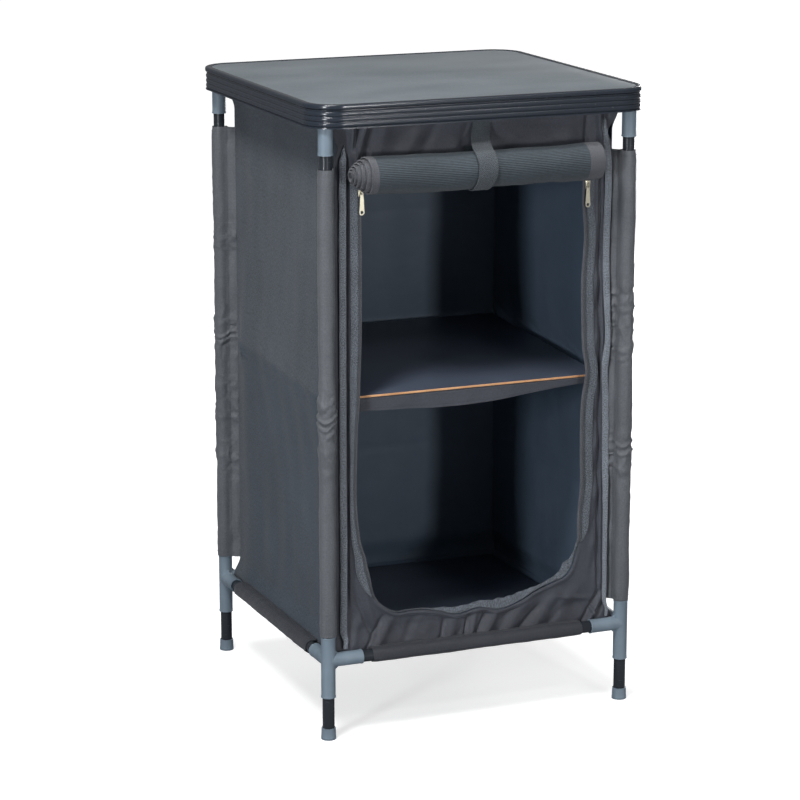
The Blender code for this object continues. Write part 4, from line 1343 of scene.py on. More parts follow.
def sleeve_section(radius, tail, count):
    """Points round a pole at the origin, from one end of the tail, which points to
    +X, round the pole and back to the other end."""
    neck = radius + 0.0030
    side = [Vector((tail, 0.0005)), Vector(((tail + neck) / 2, 0.0010)), Vector((neck, 0.0022))]
    side += [Vector((math.cos(a), math.sin(a))) * radius for a in (0.72, 1.05, 1.4)]
    around = [Vector((math.cos(a), math.sin(a))) * radius
              for a in [1.4 + (2 * math.pi - 2.8) * i / 12 for i in range(1, 12)]]
    back = [Vector((p.x, -p.y)) for p in reversed(side)]
    return evenly(smooth_line([*side, *around, *back], 6), count)


def normals_of(line):
    made = []
    for i in range(len(line)):
        step = line[min(i + 1, len(line) - 1)] - line[max(i - 1, 0)]
        made.append(Vector((step.y, -step.x)).normalized())
    return made


TAIL = math.hypot(LEG_X - WALL_X, LEG_Y - WALL_Y) + 0.0016
print(f"sleeve tail reaches {TAIL * 1000:.1f} mm from the pole")

# %% Leg sleeves
AROUND = 80
LEG_SECTION = sleeve_section(SLEEVE_R, TAIL, AROUND)
LEG_NORMALS = normals_of(LEG_SECTION)
LEG_WIDTH = sum(lengths_of(LEG_SECTION))
# Height in metres and depth of each place where a sleeve is bunched up.
RUCKLES = {
    "fl": [(0.538, 0.0024), (0.512, 0.0044), (0.501, 0.0034), (0.463, 0.0018)],
    "fr": [(0.672, -0.0030), (0.645, 0.0024), (0.622, 0.0018), (0.582, 0.0026), (0.424, 0.0034),
           (0.411, 0.0031), (0.386, 0.0020)],
    "bl": [(0.712, 0.0018), (0.572, 0.0026), (0.549, 0.0040), (0.540, 0.0032), (0.466, 0.0016),
           (0.413, 0.0016), (0.343, 0.0018)],
    "br": [(0.730, 0.0018), (0.552, 0.0040), (0.541, 0.0032), (0.420, 0.0018), (0.250, 0.0018)],
}
# Where on its way round the pole each sleeve faces the viewer: its creases sag there.
FACING = {"fl": 0.52, "fr": 0.33, "bl": 0.71, "br": 0.29}


def pocket(z, low, high, tucks):
    """0 where a sleeve's tail is tucked in and 1 halfway between two such places."""
    below = max([at for at in tucks if at <= z] or [low])
    above = min([at for at in tucks if at > z] or [high])
    return math.sin(math.pi * (z - below) / (above - below)) ** 0.5


def leg_sleeve(corner, seed):
    low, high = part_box(f"leg_sleeve_{corner}")
    centre = LEG[corner]
    inward = Vector((-math.copysign(1, centre.x), -math.copysign(1, centre.y - MIDDLE_Y)))
    turn = Matrix.Rotation(math.atan2(inward.y, inward.x), 2)
    tucks = [at for at, depth in RUCKLES[corner] if abs(depth) > 0.0015]

    def swell(u, v, z):
        end = hump(v, 0.0, 0.012) + hump(v, 1.0, 0.010)
        out = 0.0011 * (1 - min(end, 1.0)) * (0.6 + 0.9 * flutter(z * 9.0, seed))
        aside = min(abs(u - FACING[corner]) / 0.17, 1.0)
        for at, depth in RUCKLES[corner]:
            rise = 0.010 * aside ** 1.3 + 0.003 * flutter(u * 5.0, at * 50.0, seed)
            near = (z - at - rise) / 0.0052
            waves = 2.3 if depth > 0.003 else 0.0
            out += depth * 0.55 * math.exp(-near * near) * math.cos(near * waves)
        out += 0.0011 * flutter(u * 6.0, z * 17.0, seed + 3)
        crease_zone = 0.25 + 0.75 * min(sum(hump(z, at, 0.025) for at in tucks), 1.0)
        out += 0.0016 * crease_zone * crumple(u * 4.0 + z * 26.0, z * 30.0 - u * 3.0, seed + 6)
        out -= 0.0012 * crease_zone * crumple(u * 3.5 - z * 22.0, z * 24.0 + u * 3.0, seed + 8)
        return max(out, -0.0013)

    def place(u, v):
        z = mix(low.z + 0.0005, high.z - 0.0005, v)
        index = min(round(u * AROUND), AROUND)
        point = LEG_SECTION[index] + LEG_NORMALS[index] * swell(u, v, z)
        along = min(max((point.x - SLEEVE_R) / (TAIL - SLEEVE_R), 0.0), 1.0)
        lumps = 0.0062 * pocket(z, low.z, high.z, tucks) - 0.0040
        lumps += 0.0020 * flutter(z * 34.0, 0.0, seed)
        point = point + Vector((0.0, math.copysign(lumps, centre.x) * 4 * along * (1 - along)))
        spot = turn @ point
        return (centre.x + spot.x, centre.y + spot.y, z)

    size = (LEG_WIDTH, high.z - low.z)
    sheet(f"pole_sleeve_{corner}", f"leg_sleeve_{corner}", (AROUND, 300), size, place, (SLEEVE_CLOTH,),
          "gathered", [f"leg_pole_{corner}"], thick=0.0008, slot="cloth_trim")


for index, corner in enumerate(CORNERS):
    leg_sleeve(corner, 7.0 + 3.1 * index)
print("4 leg sleeves")

# %% Rail sleeves and top hems
RAIL_AROUND = 56
RAIL_R = TUBE_R + 0.0012
RAIL_SECTION = sleeve_section(RAIL_R, LEG_Y - WALL_Y - HEM_LEAN + 0.0030, RAIL_AROUND)
RAIL_NORMALS = normals_of(RAIL_SECTION)
RAIL_WIDTH = sum(lengths_of(RAIL_SECTION))
SEAM_AT = 0.47


def rail_sleeve(name, node, side, centre_z, seed, turn_up):
    """A sleeve round a rail. Its tail goes in to the outside of the wall, and up where
    turn_up is 1 or down where it is -1."""
    low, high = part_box(node)
    along_x = side in ("front", "back")
    sign = 1 if side in ("back", "right") else -1
    rail = sign * (LEG_Y if along_x else LEG_X)
    start_at, stop_at = (low.x, high.x) if along_x else (low.y, high.y)
    turn = Matrix.Rotation(math.radians(38 * turn_up), 2)

    def place(u, v):
        at = mix(start_at, stop_at, u)
        end = min(hump(u, 0.0, 0.012) + hump(u, 1.0, 0.012), 1.0)
        index = min(round(v * RAIL_AROUND), RAIL_AROUND)
        swell = 0.0007 * (1 - end) * (1 + flutter(at * 22.0, v * 4.0, seed))
        swell += 0.0004 * flutter(at * 60.0, v * 6.0, seed + 2)
        swell += 0.0009 * hump(v, SEAM_AT, 0.022) - 0.0006 * hump(v, SEAM_AT - 0.10, 0.06)
        spot = turn @ (RAIL_SECTION[index] + RAIL_NORMALS[index] * swell)
        inwards = rail - sign * spot.x
        if side != "front":
            wall = (WALL_Y if along_x else WALL_X) + rail_lean(centre_z + spot.y) + 0.0002
            inwards = sign * max(sign * inwards, wall)
        if along_x:
            return (at, MIDDLE_Y + inwards, centre_z + spot.y)
        return (inwards, at, centre_z + spot.y)

    size = (stop_at - start_at, RAIL_WIDTH)
    level = "lower" if turn_up > 0 else "upper"
    obj = sheet(name, node, (170, RAIL_AROUND), size, place, (HEM_CLOTH,), "gathered",
                [f"{level}_rail_{side}"], thick=0.0008, slot="cloth_trim", offset=0.0)
    turn_faces_out(obj)


for index, side in enumerate(("front", "back", "left", "right")):
    rail_sleeve(f"low_sleeve_{side}", f"lower_rail_sleeve_{side}", side, LOW_RAIL_Z, 40.0 + index, 1)
    rail_sleeve(f"top_sleeve_{side}", f"top_hem_{side}", side, TOP_RAIL_Z, 50.0 + index, -1)
print("8 rail sleeves")

# %% [markdown]
# ### Corner bindings
#
# The seam allowances of the front corners are bound in a ribbed tape that stands a
# little proud of the front, wavers, and ends in a small loop.


# %% Corner bindings
# Height in metres, and how much of its width the binding shows there: where it shows
# less, it has turned edge-on.
BINDING_FACE = {
    "fl": [(0.15, 0.90), (0.28, 0.82), (0.38, 0.98), (0.60, 1.0), (0.93, 0.95)],
    "fr": [(0.15, 0.34), (0.30, 0.42), (0.35, 0.60), (0.41, 0.92), (0.51, 1.0), (0.56, 0.97),
           (0.60, 0.55), (0.64, 0.60), (0.69, 0.95), (0.83, 0.92), (0.93, 0.70)],
}
BINDING_X = {
    "fl": [(0.15, -0.2228), (0.30, -0.2222), (0.50, -0.2215), (0.90, -0.2208), (0.94, -0.2180)],
    "fr": [(0.15, 0.2296), (0.30, 0.2292), (0.44, 0.2288), (0.50, 0.2284), (0.55, 0.2262),
           (0.60, 0.2288), (0.66, 0.2268), (0.74, 0.2252), (0.88, 0.2258), (0.93, 0.2180)],
}


def corner_binding(side):
    sign = 1 if side == "fr" else -1
    low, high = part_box(f"corner_binding_{side}")
    half = 0.0056
    bottom, top = low.z - 0.018, high.z + (0.042 if sign > 0 else 0.020)

    def place(u, v):
        z = mix(bottom, top, v)
        middle_x = track(BINDING_X[side], z) + 0.0004 * flutter(z * 40.0, sign)
        tip = ease(v, 0.975, 1.0)
        foot = ease(1 - v, 0.965, 1.0)
        turned = math.acos(min(track(BINDING_FACE[side], z), 1.0))
        angle = 2 * math.pi * u
        across = math.cos(angle) * half * (1 - 0.5 * tip - 0.4 * foot)
        proud = math.sin(angle) * 0.0011
        x = middle_x + across * math.cos(turned) - proud * math.sin(turned)
        out = (across + half) * math.sin(turned) * 0.8 + proud * math.cos(turned)
        x += 0.0040 * math.sin(math.pi * foot) * foot
        lift = 0.0040 - 0.0026 * tip + 0.0022 * foot + 0.0006 * flutter(z * 30.0, 5.0)
        return (x, FRONT_Y - lift - out - rail_lean(z) * 0.7, z - 0.005 * tip * math.cos(angle) * sign)

    size = (4 * half + 0.004, top - bottom)
    obj = sheet(f"corner_tape_{side}", f"corner_binding_{side}", (28, 360), size, place, (BINDING,),
                "stretched", ["front_surround"], thick=0.0006, slot="woven_tape", offset=1.0)
    turn_faces_out(obj, merge=0.00005)


corner_binding("fl")
corner_binding("fr")
print("2 corner bindings")

# %% [markdown]
# ### Floor cloth and hanging shelf
#
# The shelf is a sling: a cloth that hangs from the side and back walls, with a deep
# hem in front that droops below the board. The floor cloth closes the body below.


# %% Floor cloth
FLOOR_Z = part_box("floor_panel")[1].z - 0.0002
FLOOR_X, FLOOR_Y = WALL_X + HEM_LEAN - 0.0006, WALL_Y + HEM_LEAN - 0.0006


def place_floor(u, v):
    x = mix(-FLOOR_X, FLOOR_X, u)
    y = mix(-FLOOR_Y, FLOOR_Y, v)
    sag = 0.0022 * math.sin(math.pi * u) * math.sin(math.pi * v)
    turned_up = max(ease(abs(x), WALL_X - 0.003, FLOOR_X), ease(abs(y), WALL_Y - 0.003, FLOOR_Y))
    uneven = 0.0004 * flutter(x * 20.0, y * 20.0, 60.0) * (1 - turned_up)
    return (x, MIDDLE_Y + y, FLOOR_Z - sag - uneven + 0.0080 * turned_up)


FLOOR_CUT = (2 * FLOOR_X, 2 * FLOOR_Y)
sheet("floor_cloth", "floor_panel", (110, 110), FLOOR_CUT, place_floor, (COATING, CLOTH), "stretched",
      ["low_sleeve_front"])
print("floor cloth")

# %% Hanging shelf
SLING_LOW, SLING_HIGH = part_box("shelf_sling")
SLING_HALF = SLING_HIGH.x
SLING_DROP = 0.020
SLING_DEPTH = SLING_HIGH.y - SLING_LOW.y


def place_sling(u, v):
    """v runs from the hem's lower edge up over the front and back to the wall."""
    x = mix(-SLING_HALF, SLING_HALF, u)
    length = SLING_DEPTH + SLING_DROP
    run = v * length
    sag_and_painted_shade = math.sin(math.pi * min(max((x + SLING_HALF) / (2 * SLING_HALF), 0.0), 1.0))
    droop = 0.006 * hump(x, -0.03, 0.12) * sag_and_painted_shade
    if run < SLING_DROP:
        down = SLING_DROP - run
        taper = mix(1.0, 0.45, ease(x, 0.02, SLING_HALF))
        fold = 0.0016 * flutter(x * 26.0, run * 20.0, 71.0)
        z = SHELF_FRONT_Z - SHELF_THICK - 0.0008 - (down * taper) - droop * down / SLING_DROP
        return (x, SLING_LOW.y + 0.0003 - fold * down / SLING_DROP, z)
    back = run - SLING_DROP
    y = SLING_LOW.y + 0.0003 + back
    z = SHELF_FRONT_Z - SHELF_THICK - 0.0008 + back * SHELF_SLOPE
    return (x, y, z - 0.0006 * sag_and_painted_shade)


SLING_CUT = (2 * SLING_HALF, SLING_DEPTH + SLING_DROP)
sheet("shelf_cloth", "shelf_sling", (120, 130), SLING_CUT, place_sling, (FRONT_CLOTH, COATING), "hung",
      ["left_wall", "right_wall"], thick=0.0009, slot="cloth_trim")
print("shelf sling")

# %% [markdown]
# ## Rolled door
#
# The door is a mesh panel with bound edges, rolled up from its foot. Each turn steps
# out a little further at the left end, and the bound edges show as rings there. The
# roll sags between its ends, and its outside ripples where it was rolled unevenly.

# %% Spiral of the roll
ROLL_LOW, ROLL_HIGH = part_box("door_roll")
ROLL_R = 0.0298
ROLL_CORE_R = 0.0060
ROLL_TURNS = 6
ROLL_Y = ROLL_HIGH.y - 0.0012 - 0.0295
ROLL_Z = ROLL_LOW.z + 0.0012 + 0.0285
ROLL_RIGHT = min(ROLL_HIGH.x - 0.001, 0.1930)
ROLL_LEFT = -0.1910
ROLL_STEP_OUT = 0.0310
ROLL_TAIL = 0.0100
ROLL_WIND = 2 * math.pi * ROLL_TURNS
ROLL_LENGTH = ROLL_WIND * (ROLL_R + ROLL_CORE_R) / 2 + ROLL_TAIL
LEFT_BAND, RIGHT_BAND = 0.0115, 0.0260


def roll_uneven(x, angle):
    """Lumps of the roll, the same in every turn."""
    around = Vector((x * 13.0, math.cos(angle) * 0.8, math.sin(angle) * 0.8))
    fine = Vector((x * 42.0, math.cos(angle) * 2.0, math.sin(angle) * 2.0 + 9.0))
    under = 0.5 + 0.5 * max(math.sin(angle), 0.0)
    return (0.0034 * noise.noise(around) + 0.0012 * noise.noise(fine)) * under


def roll_point(share, x):
    """Middle of the rolled cloth, share of the way from its outer end inwards."""
    run = share * ROLL_LENGTH
    across = (x - ROLL_LEFT) / (ROLL_RIGHT - ROLL_LEFT)
    sag = 0.0024 * math.sin(math.pi * min(max(across, 0.0), 1.0))
    if run < ROLL_TAIL:
        return Vector((ROLL_Y + ROLL_R, ROLL_Z + (ROLL_TAIL - run) - sag))
    share = (run - ROLL_TAIL) / (ROLL_LENGTH - ROLL_TAIL)
    wound = (1 - math.sqrt(1 - share * (1 - (ROLL_CORE_R / ROLL_R) ** 2))) / (1 - ROLL_CORE_R / ROLL_R)
    angle = ROLL_WIND * wound
    radius = mix(ROLL_R, ROLL_CORE_R, wound)
    ends = ease(across, 0.0, 0.12) * ease(1 - across, 0.0, 0.08)
    radius += roll_uneven(x, angle) * (1 - wound) * ends
    return Vector((ROLL_Y + radius * math.cos(angle), ROLL_Z - sag - radius * math.sin(angle)))


def place_roll(u, v):
    inwards = max(v * ROLL_LENGTH - ROLL_TAIL, 0.0) / ROLL_LENGTH
    step_out = ROLL_STEP_OUT * inwards * (1 - ease(u, 0.0, 0.16))
    x = mix(ROLL_LEFT, ROLL_RIGHT, u) - step_out
    y, z = roll_point(v, x)
    return (x, y, z)


ROLL_CUT = (ROLL_RIGHT - ROLL_LEFT, ROLL_LENGTH)
roll = sheet("rolled_door", "door_roll", (136, 300), ROLL_CUT, place_roll, (DOOR_MESH,), "folded",
             ["roll_strap"], thick=0.0020, slot="door_mesh", offset=0.0)
print(f"rolled door {ROLL_LENGTH:.3f} m long")

# %% Bound edges of the door
roll.data.materials.append(ROLL_EDGE)
roll_uv = roll.data.uv_layers.active.data
for face in roll.data.polygons:
    across = sum(roll_uv[i].uv[0] for i in face.loop_indices) / face.loop_total
    if across < LEFT_BAND or across > ROLL_CUT[0] - RIGHT_BAND:
        face.material_index = 1
print(f"{sum(face.material_index for face in roll.data.polygons)} faces of bound edge")


# %% [markdown]
# The strap is sewn to the header and holds the roll like a sling. It comes down at a
# slight slant, lies flat round the front of the roll and goes up behind it.

# %% Strap
STRAP_LOW, STRAP_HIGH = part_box("roll_strap")
STRAP_X = (STRAP_LOW.x + STRAP_HIGH.x) / 2
STRAP_R = ROLL_R + 0.0021
STRAP_WIDE = 0.0305
STRAP_STEPS = 170
# Metres in front of the cloth and metres below the strap's top, where it starts.
STRAP_TOP = ((0.0098, -0.010), (0.0090, 0.002), (0.0105, 0.014), (0.0180, 0.026))


def strap_line():
    """Points, y and z, down over the front of the roll, under it and up behind it."""
    centre = Vector((ROLL_Y, ROLL_Z - 0.0022))
    points = [Vector((FRONT_Y - out, STRAP_HIGH.z - down)) for out, down in STRAP_TOP]
    for step in range(24):
        angle = math.radians(118 + 240 * step / 23)
        points.append(centre + Vector((math.cos(angle), math.sin(angle))) * STRAP_R)
    points.append(Vector((ROLL_Y + STRAP_R, ROLL_Z + 0.030)))
    return smooth_line(points, 4)


STRAP_LINE = evenly(strap_line(), STRAP_STEPS)
STRAP_LENGTH = sum(lengths_of(STRAP_LINE))


def place_strap(u, v):
    share = 1 - v
    y, z = STRAP_LINE[min(round(share * STRAP_STEPS), STRAP_STEPS)]
    lean = mix(0.0150, 0.0012, ease(share, 0.02, 0.30)) - 0.0050 * hump(share, 0.62, 0.12)
    width = STRAP_WIDE + 0.0022 * hump(share, 0.34, 0.12) - 0.0020 * hump(share, 0.60, 0.10)
    curl = 0.0012 * math.cos(2 * math.pi * (u - 0.5)) * ease(0.22 - share, 0.0, 0.15)
    waver = 0.0007 * flutter(share * 16.0, u * 2.0, 66.0)
    return (STRAP_X + lean + width * (u - 0.5) + waver, y - curl, z)


sheet("door_strap", "roll_strap", (24, STRAP_STEPS), (STRAP_WIDE, STRAP_LENGTH), place_strap, (STRAP,),
      "hung", ["front_header"], thick=0.0013, slot="woven_tape", offset=0.0)
print(f"strap {STRAP_LENGTH:.3f} m long")

# %% [markdown]
# ## Zip
#
# The zip's fixed half runs round the whole opening: a tape sewn to the cloth's edge
# and a nylon coil on the tape's inner edge. The coil is a helix of fine wire. It is a
# curve whose points come from a formula, with a square section, because it repeats
# many hundred times.

# %% Zip tape
ZIP_Y = (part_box("zip_tape")[0].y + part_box("zip_tape")[1].y) / 2
TAPE_WIDTH = 0.0185
ZIP_OUT = FRONT_Y - ZIP_Y


# Metres from the middle of the foot, and metres that the tape reaches outwards and
# inwards of the coil there.
TAPE_OUT = [
    (-0.800, 0.0140), (-0.550, 0.0130), (-0.500, 0.0115), (-0.430, 0.0075), (-0.360, 0.0062),
    (-0.310, 0.0085), (-0.270, 0.0110), (-0.230, 0.0160), (-0.203, 0.0110), (-0.181, 0.0025),
    (-0.165, 0.0008), (0.226, 0.0008), (0.240, 0.0060), (0.268, 0.0150), (0.800, 0.0145),
]
TAPE_IN = [
    (-0.220, 0.0045), (-0.185, 0.0030), (-0.158, 0.0016), (-0.070, 0.0018), (-0.048, 0.0070),
    (-0.018, 0.0110), (0.000, 0.0085), (0.012, 0.0095), (0.034, 0.0130), (0.051, 0.0152),
    (0.085, 0.0135), (0.105, 0.0074), (0.132, 0.0040), (0.160, 0.0080), (0.190, 0.0140),
    (0.204, 0.0066), (0.222, 0.0020), (0.240, 0.0050), (0.262, 0.0062),
]
INNER_SHARE = 0.30


def place_tape(u, v):
    s = along_edge(u)
    from_middle = MIDDLE_S - s
    foot = foot_share(s)
    edge, outward = front_edge(s)
    fray = 1 + 0.22 * flutter(s * 75.0, 2.0, 91.0) * foot
    if v < INNER_SHARE:
        inner = 1 - v / INNER_SHARE
        reach = -track(TAPE_IN, from_middle) * inner * fray
        lying = ZIP_OUT - 0.0006 + 0.0009 * math.sin(math.pi * inner)
        pucker = 0.0016 * flutter(s * 60.0, inner * 1.5, 92.0) + 0.0008 * math.sin(s * 300.0)
        standing = -0.0042 - 0.0020 * inner + pucker * inner
    else:
        reach = track(TAPE_OUT, from_middle) * (v - INNER_SHARE) / (1 - INNER_SHARE)
        hidden = front_out(edge.x + outward.x * reach, edge.y + outward.y * reach, reach)
        lying = max(ZIP_OUT - 0.0004, hidden + 0.0006)
        standing = -0.0042
    point = edge + outward * reach
    return (point.x, FRONT_Y - mix(lying, standing, foot), point.y)


TAPE_CUT = (EDGE_LENGTH, TAPE_WIDTH)
zip_band = sheet("zip_band", "zip_tape", (620, 16), TAPE_CUT, place_tape, (TAPE,), "stretched",
                 ["front_surround"], thick=0.0006, slot="woven_tape")
zip_band.data.materials.append(ROLL_EDGE)
zip_uv = zip_band.data.uv_layers.active.data
for loop in zip_uv:
    loop.uv = (along_edge(loop.uv[0] / EDGE_LENGTH), loop.uv[1])
for face in zip_band.data.polygons:
    s, v = (sum(zip_uv[i].uv[axis] for i in face.loop_indices) / face.loop_total for axis in (0, 1))
    if v < INNER_SHARE * TAPE_WIDTH and foot_share(s) <= 0.5:
        face.material_index = 1
print("zip tape")

# %% Zip coil
COIL_PITCH = 0.0020
COIL_STEPS = 7
COIL_R = 0.0012
COIL_WIRE_R = 0.00038


def coil_points():
    turns = int(EDGE_LENGTH / COIL_PITCH)
    points = []
    for i in range(turns * COIL_STEPS + 1):
        s = EDGE_LENGTH * i / (turns * COIL_STEPS)
        edge, outward = front_edge(s)
        angle = 2 * math.pi * i / COIL_STEPS
        flat = edge + outward * COIL_R * math.cos(angle)
        lift = mix(ZIP_OUT + 0.0004, -0.0050, foot_share(s)) + COIL_R * 0.8 * math.sin(angle)
        points.append((flat.x, FRONT_Y - lift, flat.y))
    return points


coil = to_mesh(curve_from("zip_coil", [coil_points()], cyclic=False, dimensions="3D",
                          bevel_depth=COIL_WIRE_R, bevel_resolution=0, use_fill_caps=True))
dress(coil, BODY, "woven_tape", NYLON, node="zip_tape", smooth=80)
print(f"zip coil: {len(coil.data.polygons)} faces")

# %% [markdown]
# A slider is a small casting with a waist, which the coil runs through, and a bridge
# on its face that holds the pull. The pull is a stamped blade: narrow at its neck,
# wide and round at its foot, with a hole at each end.


# %% Sliders
def slider(side, faces):
    low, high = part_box(f"zip_slider_{side}")
    edge_x = OPENING_HALF * (1 if side == "r" else -1)
    centre = Vector((edge_x, ZIP_Y, (low.z + high.z) / 2))
    tall = high.z - low.z
    obj = start("cube", f"slider_{side}", size=1.0, location=centre, scale=(0.0088, 0.0064, tall))
    edit(obj)
    bpy.ops.mesh.select_all(action="SELECT")
    bpy.ops.mesh.subdivide(number_cuts=3)
    leave()
    for vert in obj.data.vertices:
        share = (vert.co.z - low.z) / tall
        waist = 1 - 0.16 * hump(share, 0.35, 0.3)
        vert.co.x = centre.x + (vert.co.x - centre.x) * waist
        if abs(vert.co.y - centre.y) < 0.0008:
            vert.co.x = centre.x + (vert.co.x - centre.x) * 0.78
    soften(obj, 0.0005, 3, 30)
    for face in faces:
        bridge = start("torus", "bridge", major_radius=0.0036, minor_radius=0.0008,
                       major_segments=32, minor_segments=12,
                       location=(centre.x, centre.y + face * 0.0032, centre.z),
                       rotation=(0, math.pi / 2, 0))
        join_solids(obj, [bridge])
    dress(obj, f"zip_slider_{side}", "zip_metal", PLATED, node=f"zip_slider_{side}")


slider("l", (-1,))
slider("r", (-1, 1))
print("2 sliders")


# %% Pulls
def pull(name, node):
    low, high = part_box(node)
    centre = (low + high) / 2
    height = high.z - low.z
    half = (high.x - low.x) / 2
    foot, neck = half, half * 0.55
    outline = arc_points((0, foot), (foot, foot), 180, 360, 14)
    outline += arc_points((0, height - neck), (neck, neck), 0, 180, 12)
    hole = arc_points((0, foot), (0.0025, 0.0027), 0, 345, 23)
    eye = arc_points((0, height - neck), (0.0013, 0.0016), 0, 345, 23)
    obj = curve_from(name, (outline, hole, eye), fill_mode="BOTH", bevel_depth=0.00018,
                     bevel_resolution=1, extrude=(high.y - low.y) / 2 - 0.0002)
    obj.matrix_world = Matrix.Translation((centre.x, centre.y, low.z)) @ Matrix.Rotation(math.pi / 2, 4, "X")
    dress(to_mesh(obj), node, "zip_metal", PLATED, node=node)


pull("pull_left", "zip_pull_l")
pull("pull_right", "zip_pull_r")
pull("pull_right_inner", "zip_pull_r_inner")
print("3 pulls")

# %% [markdown]
# ## Stitches
#
# A seam is a row of single stitches: short, fat at the middle, and sunk into the
# cloth at both ends. One stitch is modelled from a six-sided cylinder. A row lays
# copies of it along a line on a sheet, which the sheet's own function gives, so the
# thread follows every fold.

# %% One stitch
STITCH_LONG, STITCH_R = 0.0026, 0.00030
pattern = start("cylinder", "stitch", vertices=6, radius=STITCH_R, depth=STITCH_LONG * 0.4)
edit(pattern)
for side in (-1, 1):
    pick_end(pattern, Vector((0, 0, side)))
    extrude((0, 0, side * STITCH_LONG * 0.3))
    bpy.ops.transform.resize(value=(0.4, 0.4, 1.0))
leave()
STITCH_VERTS = [vert.co.copy() for vert in pattern.data.vertices]
STITCH_FACES = [tuple(face.vertices) for face in pattern.data.polygons]
bpy.data.objects.remove(pattern)
print(f"one stitch has {len(STITCH_FACES)} faces")


# %% Rows of stitches
ROWS = []


def row(name, first, last, lift=0.0007, pitch=0.0036):
    """Adds the places of a row on a sheet, between two points of its flat layout."""
    place = SHEETS[name]

    def at(share):
        return Vector(place(mix(first[0], last[0], share), mix(first[1], last[1], share)))

    fine = [at(i / 60) for i in range(61)]
    count = max(int(sum(lengths_of(fine)) / pitch), 2)
    step_u, step_v = 0.004, 0.002
    for i in range(count):
        share = (i + 0.5) / count
        u, v = mix(first[0], last[0], share), mix(first[1], last[1], share)
        here = Vector(place(u, v))
        side_u = Vector(place(min(u + step_u, 1.0), v)) - Vector(place(max(u - step_u, 0.0), v))
        side_v = Vector(place(u, min(v + step_v, 1.0))) - Vector(place(u, max(v - step_v, 0.0)))
        along = at(min(share + 0.3 / count, 1.0)) - at(max(share - 0.3 / count, 0.0))
        if along.length > 1e-7:
            ROWS.append((here, along.normalized(), side_u.cross(side_v).normalized() * lift))


def sew(name):
    """Turns the collected rows into one piece of stitching."""
    verts, faces = [], []
    for here, along, lift in ROWS:
        turn = along.to_track_quat("Z", "Y")
        base = len(verts)
        verts += [here + lift + turn @ corner for corner in STITCH_VERTS]
        faces += [tuple(base + index for index in face) for face in STITCH_FACES]
    mesh = bpy.data.meshes.new(name)
    mesh.from_pydata(verts, [], faces)
    dress(add_object(name, mesh), BODY, "woven_tape", THREAD, smooth=60)
    print(f"{name}: {len(ROWS)} stitches")
    ROWS.clear()


# %% Sew the sleeves
for corner in CORNERS:
    name = f"pole_sleeve_{corner}"
    for height in (0.010, 0.990):
        row(name, (0.0, height), (1.0, height))
    for edge in (0.155, 0.845):
        row(name, (edge, 0.0), (edge, 1.0))
for side in ("front", "back", "left", "right"):
    for name in (f"low_sleeve_{side}", f"top_sleeve_{side}"):
        for end in (0.012, 0.988):
            row(name, (end, 0.0), (end, 1.0))
        row(name, (0.0, 0.10), (1.0, 0.10))
sew("sleeve_stitches")

# %% Sew the walls and the front
for name in ("left_wall", "right_wall", "back_wall"):
    row(name, (0.0, 0.016), (1.0, 0.016))
row("front_surround", (0.30, 0.10), (0.72, 0.10), lift=0.0004)
row("shelf_cloth", (0.0, 0.012), (1.0, 0.012))
row("shelf_cloth", (0.0, 0.040), (1.0, 0.040))
sew("wall_stitches")

# %% Sew the tapes, the strap and the door
for name in ("corner_tape_fl", "corner_tape_fr"):
    for edge in (0.14, 0.36):
        row(name, (edge, 0.01), (edge, 0.985), lift=0.0009)
for edge in (0.40, 0.93):
    row("zip_band", (0.0, edge), (0.33, edge), lift=0.0008)
    row("zip_band", (0.70, edge), (1.0, edge), lift=0.0008)
for edge in (0.07, 0.93):
    row("door_strap", (edge, 0.1), (edge, 1.0), lift=0.0009)
for edge in (0.005, LEFT_BAND / ROLL_CUT[0], 1 - RIGHT_BAND / ROLL_CUT[0], 0.972, 0.992):
    row("rolled_door", (edge, 0.03), (edge, 0.24), lift=-0.0013)
sew("tape_stitches")


# %% [markdown]
# ## Studio
#
# The cupboard stands on a white floor in a white studio. A sun straight above gives
# the shadow between the feet, panels of light stand on the left, in front and behind,
# and the world adds a little from everywhere. The camera sees a pale floor that glows
# a little, so that it looks white and keeps the shadow. All other rays meet a darker
# floor, which throws little light back up at the cupboard.

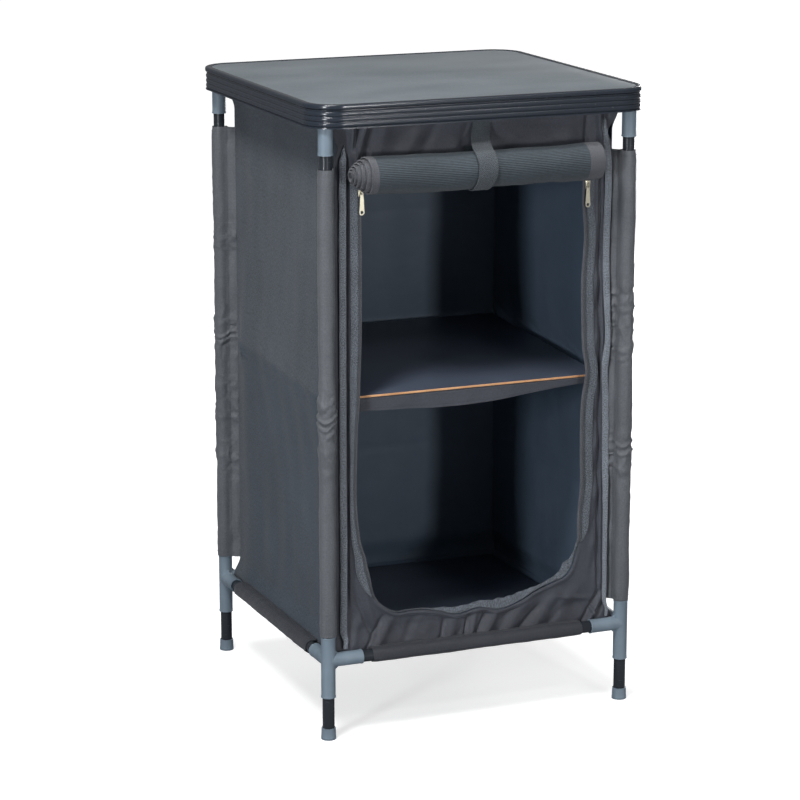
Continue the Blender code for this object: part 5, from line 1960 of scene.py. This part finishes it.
# %% Floor
FLOOR_GLOW = 0.60
FLOOR_BOUNCE = tone(124, 126, 130)
floor = start("plane", "studio_floor", size=30.0)
floor_look = Look("studio_floor", Roughness=0.9, Specular_IOR_Level=0.0)
floor_grain = floor_look.noise(floor_look.place(), 60.0, 3.0)
floor_shown = floor_look.blend(floor_grain, tone(202, 202, 202), tone(206, 206, 206))
floor_look.feed(Base_Color=floor_look.blend(floor_look.camera_rays(), FLOOR_BOUNCE, floor_shown),
                Emission_Color=floor_look.blend(floor_look.camera_rays(), (0, 0, 0, 1), (1, 1, 1, 1)),
                Emission_Strength=FLOOR_GLOW)
floor.data.materials.append(floor_look.material)
print("floor")

# %% World and lamps
AMBIENT = 0.20
world = bpy.data.worlds.new("studio")
bpy.context.scene.world = world
world.use_nodes = True
studio = Tree(world.node_tree)
backdrop = world.node_tree.nodes["Background"]
studio.plug(backdrop.inputs["Color"], (1.0, 1.0, 1.0, 1.0))
studio.plug(backdrop.inputs["Strength"], studio.camera_rays() * (1 - AMBIENT) + AMBIENT)


def add_lamp(kind, name, place, energy, aim=(0.0, 0.0, 0.5), **settings):
    data = bpy.data.lights.new(name, kind)
    data.energy = energy
    for key, value in settings.items():
        setattr(data, key, value)
    lamp = add_object(name, data)
    lamp.location = place
    lamp.rotation_euler = (Vector(aim) - Vector(place)).to_track_quat("-Z", "Y").to_euler()


add_lamp("SUN", "overhead", (-0.05, 0.00, 3.0), 1.55, aim=(0.0, 0.0, 0.0), angle=math.radians(3))
for name, place, energy, wide, tall in (
        ("key_high_left", (-1.4, -1.25, 3.0), 56, 0.6, 0.6),
        ("side_left", (-2.6, -2.0, 0.95), 43, 0.35, 0.8),
        ("rim_light", (0.95, -2.35, 2.70), 12, 0.9, 0.25),
        ("front", (0.66, -3.6, 0.85), 31, 0.25, 0.5),
        ("back_right_fill", (2.7, 2.5, 1.00), 105, 1.8, 1.5)):
    add_lamp("AREA", name, place, energy, shape="RECTANGLE", size=wide, size_y=tall)
bpy.data.lights["side_left"].color = (0.94, 0.97, 1.0)
print("studio ready")

# %% [markdown]
# The picture uses Blender's Standard view transform, so a colour comes out as it was
# mixed.

# %% Finish
bpy.context.scene.view_settings.view_transform = "Standard"
